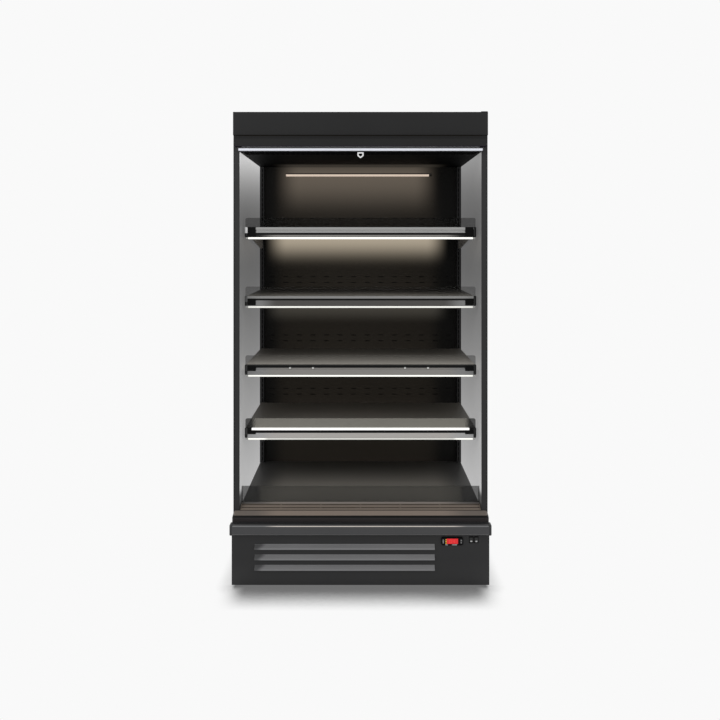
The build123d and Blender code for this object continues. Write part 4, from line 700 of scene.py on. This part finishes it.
# painted shade darkens the deck towards the back and the sides, and a painted pool of light lies on its front
toward_shaded_back = between(tree, xyz[1], *deck_depth)
on_lip = between(tree, xyz[1], *deck_lip)
sides = between(tree, maths(tree, "ABSOLUTE", xyz[0]), *deck_side_shade)
colour = toned(tree, colour, toward_shaded_back, deck_rear_shade_tone)
colour = toned(tree, colour, on_lip, deck_lip_tone)
colour = toned(tree, colour, times(tree, sides, side_shade_share), grey(0.055))
pooled = times(tree, maths(tree, "MULTIPLY_ADD", toward_shaded_back, -deck_glow, deck_glow),
               maths(tree, "SUBTRACT", 1.0, on_lip), maths(tree, "SUBTRACT", 1.0, sides))
paint(tree, shader, colour, deck_warmth, pooled)
dress(deck_paint, "deck_tray")
dress(riser_sheet("deck_riser_clear", 0.056, 0.50, 0.42), "deck_riser")

# ---------------------------------------------------------------- tub, return grille, nose
# The tub is foam-cored. Air returns through two long slots in the sloping grille in front of the deck,
# and a rounded nose closes the front. Its top ledge is painted lighter, as painted light.
dress(coating("tub_paint", (0.010, 0.0095, 0.009), 0.6, specular=0.1)[0], "tub")
# the walls of the slots lie in shade, under the sloping face of the grille
face_point, face_normal = (-0.320, 0.311), (0.463, 0.886)
slot_depth, slot_tone = (-0.0003, -0.0010), (0.004, 0.0035, 0.003, 1)
grille_paint, tree, shader, colour, xyz = coating("grille_paint", (0.168, 0.138, 0.114), 0.45, specular=0.2)
above = maths(tree, "MULTIPLY_ADD", xyz[2], face_normal[1], -face_point[1] * face_normal[1])
behind = maths(tree, "MULTIPLY_ADD", xyz[1], face_normal[0], -face_point[0] * face_normal[0])
in_slot = between(tree, maths(tree, "SUBTRACT", above, behind), *slot_depth)
paint(tree, shader, toned(tree, colour, in_slot, slot_tone))
dress(grille_paint, "return_grille")

shadow_under_ledge, ledge_top, ledge_ends = (0.2915, 0.2935), (0.2990, 0.3005), (0.34, 0.46)
lit_ledge_tone, dimmer_ledge_end_tone = (0.255, 0.208, 0.176, 1), (0.165, 0.142, 0.125, 1)
nose_paint, tree, shader, colour, xyz = coating("nose_paint", (0.0270, 0.0240, 0.0245), 0.42, specular=0.12)
# a painted shadow lies under the ledge; the ledge's painted light is dimmer towards its ends
colour = toned(tree, colour, between(tree, xyz[2], *shadow_under_ledge), grey(0.002))
ends = between(tree, maths(tree, "ABSOLUTE", xyz[0]), *ledge_ends)
ledge_light = toned(tree, lit_ledge_tone, ends, dimmer_ledge_end_tone)
paint(tree, shader, toned(tree, colour, between(tree, xyz[2], *ledge_top), ledge_light))
dress(nose_paint, "front_nose")

# ---------------------------------------------------------------- bumper
# An extruded vinyl bumper over the full width, with moulded caps. A painted highlight runs along its rounded
# top edge, with a painted warm reflection of the cabinet's light in the middle; the top behind it is in
# painted shade, and a painted highlight runs along its foot.
line_foot, line_head, line_front = (0.2675, 0.2695), (0.2722, 0.2708), (-0.3840, -0.3855)
edge_highlight_tone, warm_reflection_tone = (0.17, 0.17, 0.172, 1), (0.66, 0.60, 0.55, 1)
warm_centre, warm_width = 0.02, (0.43, 0.36)
bumper_back, back_shade_tone = (-0.3840, -0.3825), (0.020, 0.020, 0.021, 1)
bumper_foot, foot_highlight_tone = (0.2385, 0.2350), (0.115, 0.115, 0.117, 1)
bumper_vinyl, tree, shader, colour, xyz = coating(
    "bumper_vinyl", (0.046, 0.046, 0.048), 0.38, specular=0.35, grain=700.0)
top_highlight = times(tree, between(tree, xyz[2], *line_foot), between(tree, xyz[2], *line_head),
                 between(tree, xyz[1], *line_front))
from_warm = maths(tree, "ABSOLUTE", maths(tree, "SUBTRACT", xyz[0], warm_centre))
highlight_colour = toned(tree, edge_highlight_tone, between(tree, from_warm, *warm_width), warm_reflection_tone)
colour = toned(tree, colour, top_highlight, highlight_colour)
colour = toned(tree, colour, between(tree, xyz[1], *bumper_back), back_shade_tone)
paint(tree, shader, toned(tree, colour, between(tree, xyz[2], *bumper_foot), foot_highlight_tone))
dress(bumper_vinyl, "bumper_rail")

low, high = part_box("bumper_rail")
cap_length, cap_proud = 0.014, 0.0006
shape = bmesh.new()
for side in (-1, 1):
    end = side * (high.x + cap_proud)
    block(shape, (end - side * cap_length, end), (low.y - cap_proud, high.y),
          (low.z - cap_proud, high.z + cap_proud), rounding=0.0060, segments=4)
bumper_cap = coating("bumper_cap", (0.030, 0.030, 0.031), 0.4, specular=0.3, grain=700.0)[0]
piece("bumper_end_caps", shape, "cabinet", bumper_cap, smooth=True)

# ---------------------------------------------------------------- base panel and louvres
# The folded base panel lifts off for service. Three long pressed louvres in light grey let air in to
# the condenser behind them.
base_fade, base_foot_light_tone = (0.130, 0.020), (0.028, 0.028, 0.0285, 1)
base_paint, tree, shader, colour, xyz = coating("base_paint", (0.0180, 0.0180, 0.0185), 0.42)
# painted light: the panel is painted lighter towards its foot
paint(tree, shader, toned(tree, colour, between(tree, xyz[2], *base_fade), base_foot_light_tone))
dress(base_paint, "base_front_panel")
# a painted highlight runs along the louvres' lips, and a slanted painted shadow lies over their left ends
slat_tone, lip_highlight_tone, shadow_tone = (0.165, 0.165, 0.168), (0.195, 0.195, 0.20, 1), (0.02, 0.02, 0.021, 1)
shadow_slope, shadow_share = 1.6, 0.75
louvre_paint, tree, shader, colour, xyz = coating("louvre_paint", slat_tone, 0.42, specular=0.35)
low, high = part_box("louvre_slats")
on_lip = between(tree, xyz[1], low.y + 0.0012, low.y + 0.0004)
slant = maths(tree, "MULTIPLY_ADD", xyz[1], -shadow_slope, xyz[0])
slant_start = low.x - shadow_slope * low.y
shaded = times(tree, between(tree, slant, slant_start + 0.036, slant_start + 0.006), shadow_share)
paint(tree, shader, toned(tree, toned(tree, colour, on_lip, lip_highlight_tone), shaded, shadow_tone))
dress(louvre_paint, "louvre_slats")

# ---------------------------------------------------------------- controls
# A small electronic thermostat in a black bezel, with a red lit window, amber icons and two light
# keys. Beside it are two rocker switches for the light and the fans.
bezel_plastic = coating("bezel_plastic", (0.0015, 0.0015, 0.0016), 0.35, specular=0.08, depth=0.01)[0]
dress(bezel_plastic, "control_housings")
dress(coating("key_plastic", (0.05, 0.05, 0.05), 0.4, specular=0.3)[0], "key_left", "key_right")
dress(coating("rocker_plastic", (0.006, 0.006, 0.006), 0.3, specular=0.4)[0], "rocker_left", "rocker_right")


def lit_lens(name, colour, glow, roughness=0.3, specular=0.25):
    """A coloured lens that is lit from behind."""
    made, tree, shader = coating(name, colour, roughness, specular=specular, depth=0.0)[:3]
    paint(tree, shader, None, glow, 0.8)
    return made


display_lens = lit_lens(
    "display_lens", (0.25, 0.004, 0.006), (0.58, 0.008, 0.012, 1), roughness=0.2, specular=0.4)
amber_lens = lit_lens("amber_lens", (0.3, 0.2, 0.02), (0.62, 0.38, 0.05, 1))
digit_lens = lit_lens("digit_lens", (0.35, 0.015, 0.012), (0.80, 0.055, 0.045, 1), specular=0.2)
mark_paint = coating("mark_paint", (0.5, 0.5, 0.5), 0.4, depth=0.0)[0]
house_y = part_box("control_housings")[0].y
window_x, window_z, window_y = 0.386, 0.196, house_y + 0.001
digit_ys = (window_y - 0.0013, window_y - 0.0006)
shape = bmesh.new()
block(shape, (window_x - 0.0235, window_x + 0.0245), (window_y - 0.0008, window_y + 0.0002),
      (window_z - 0.0105, window_z + 0.0118), rounding=0.0004, segments=1)
piece("display_window", shape, "cabinet", display_lens)

# two plain seven-segment digits, a nought and a four
digit_width, digit_height, stroke, stroke_gap = 0.0085, 0.0150, 0.0016, 0.0002
foot_z, top_z = window_z - digit_height / 2, window_z + digit_height / 2
shape = bmesh.new()
for left, lit_segments in ((window_x - 0.0120, "abcdef"), (window_x + 0.0020, "bcfg")):
    right = left + digit_width
    segments = {
        "a": (left, right, top_z - stroke, top_z), "b": (right - stroke, right, window_z, top_z),
        "c": (right - stroke, right, foot_z, window_z), "d": (left, right, foot_z, foot_z + stroke),
        "e": (left, left + stroke, foot_z, window_z), "f": (left, left + stroke, window_z, top_z),
        "g": (left, right, window_z - stroke / 2, window_z + stroke / 2)}
    for label in lit_segments:
        start, end, bottom, top = segments[label]
        block(shape, (start + stroke_gap, end - stroke_gap), digit_ys,
              (bottom + stroke_gap, top - stroke_gap))
piece("display_digits", shape, "cabinet", digit_lens)

icon_pitch, icon_half = 0.007, 0.0022
shape = bmesh.new()
for step in (-1, 0, 1):
    icon_z = window_z + step * icon_pitch
    block(shape, (window_x - 0.0285, window_x - 0.0240), digit_ys, (icon_z - icon_half, icon_z + icon_half),
          rounding=0.0005, segments=1)
piece("display_icons", shape, "cabinet", amber_lens)
shape = bmesh.new()
for start, end in ((-0.029, -0.019), (-0.001, 0.020)):
    block(shape, (window_x + start, window_x + end), (house_y - 0.0004, house_y + 0.0006),
          (window_z - 0.0155, window_z - 0.0128), rounding=0.0003, segments=1)
piece("bezel_marks", shape, "cabinet", mark_paint)

# small raised marks on the two keys, and one on each rocker
key_marks = {"key_left": (-0.0056, 0.0, 0.0056), "key_right": (-0.0056, 0.0048)}
mark_half_width, mark_half_height, rocker_half_width = 0.0016, 0.0014, 0.0042
for label, steps in key_marks.items():
    low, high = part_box(label)
    middle_x, middle_z = (low.x + high.x) / 2, (low.z + high.z) / 2
    shape = bmesh.new()
    for step in steps:
        mark_z = middle_z + step
        block(shape, (middle_x - mark_half_width, middle_x + mark_half_width),
              (low.y - 0.0003, low.y + 0.0006), (mark_z - mark_half_height, mark_z + mark_half_height),
              rounding=0.0004, segments=1)
    piece(f"{label}_marks", shape, f"{label}_body", mark_paint)
for label in ("rocker_left", "rocker_right"):
    low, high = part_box(label)
    middle_x = (low.x + high.x) / 2
    shape = bmesh.new()
    block(shape, (middle_x - rocker_half_width, middle_x + rocker_half_width),
          (low.y - 0.0006, low.y + 0.0008), (low.z + 0.0005, low.z + 0.0060), rounding=0.0005, segments=1)
    piece(f"{label}_mark", shape, f"{label}_body", mark_paint)

# ---------------------------------------------------------------- base frame and feet
# A galvanised channel frame on four zinc-plated levelling feet. The fan plate, the fan motors and the
# rear grille are of the same galvanised steel, with its spangle.
spangle_scale, spangle_share, spangle_tone = 90.0, 0.6, (0.22, 0.23, 0.24, 1)
galvanised, tree, shader, colour, xyz = coating(
    "galvanised", (0.36, 0.37, 0.38), 0.42, metallic=0.9, specular=0.5, grain=60.0, depth=0.004)
place = tree.nodes["Texture Coordinate"].outputs["Object"]
spangle = add(tree, "ShaderNodeTexVoronoi", {"Vector": place, "Scale": spangle_scale}).outputs["Distance"]
paint(tree, shader, toned(tree, colour, times(tree, spangle, spangle_share), spangle_tone))
dress(galvanised, "base_frame", "evaporator_fan_plate", "fan_motors", "rear_base_grille")
foot_zinc = coating("foot_zinc", (0.5, 0.5, 0.49), 0.35, metallic=0.95, grain=300.0)[0]
dress(foot_zinc, *[f"foot_{end}_{side}" for end in ("front", "rear") for side in ("left", "right")])

# ---------------------------------------------------------------- cooling plant
# Compressor, condenser and evaporator coils of bare aluminium fins on copper tube, two plastic fans,
# copper pipework and a black drain tray.
compressor_enamel = coating("compressor_enamel", (0.010, 0.010, 0.011), 0.25, specular=0.5)[0]
dress(compressor_enamel, "compressor")
fin_aluminium = coating("fin_aluminium", (0.62, 0.63, 0.64), 0.38, metallic=0.9, specular=0.5)[0]
dress(fin_aluminium, "condenser_coil", "evaporator_coil")
fan_plastic = coating("fan_plastic", (0.012, 0.012, 0.012), 0.4, specular=0.4)[0]
dress(fan_plastic, "condenser_fan", "evaporator_fan", "drain_tray", "cable_gland")
pipe_copper = coating("pipe_copper", (0.55, 0.24, 0.13), 0.3, metallic=1.0, grain=120.0)[0]
dress(pipe_copper, "pipework")
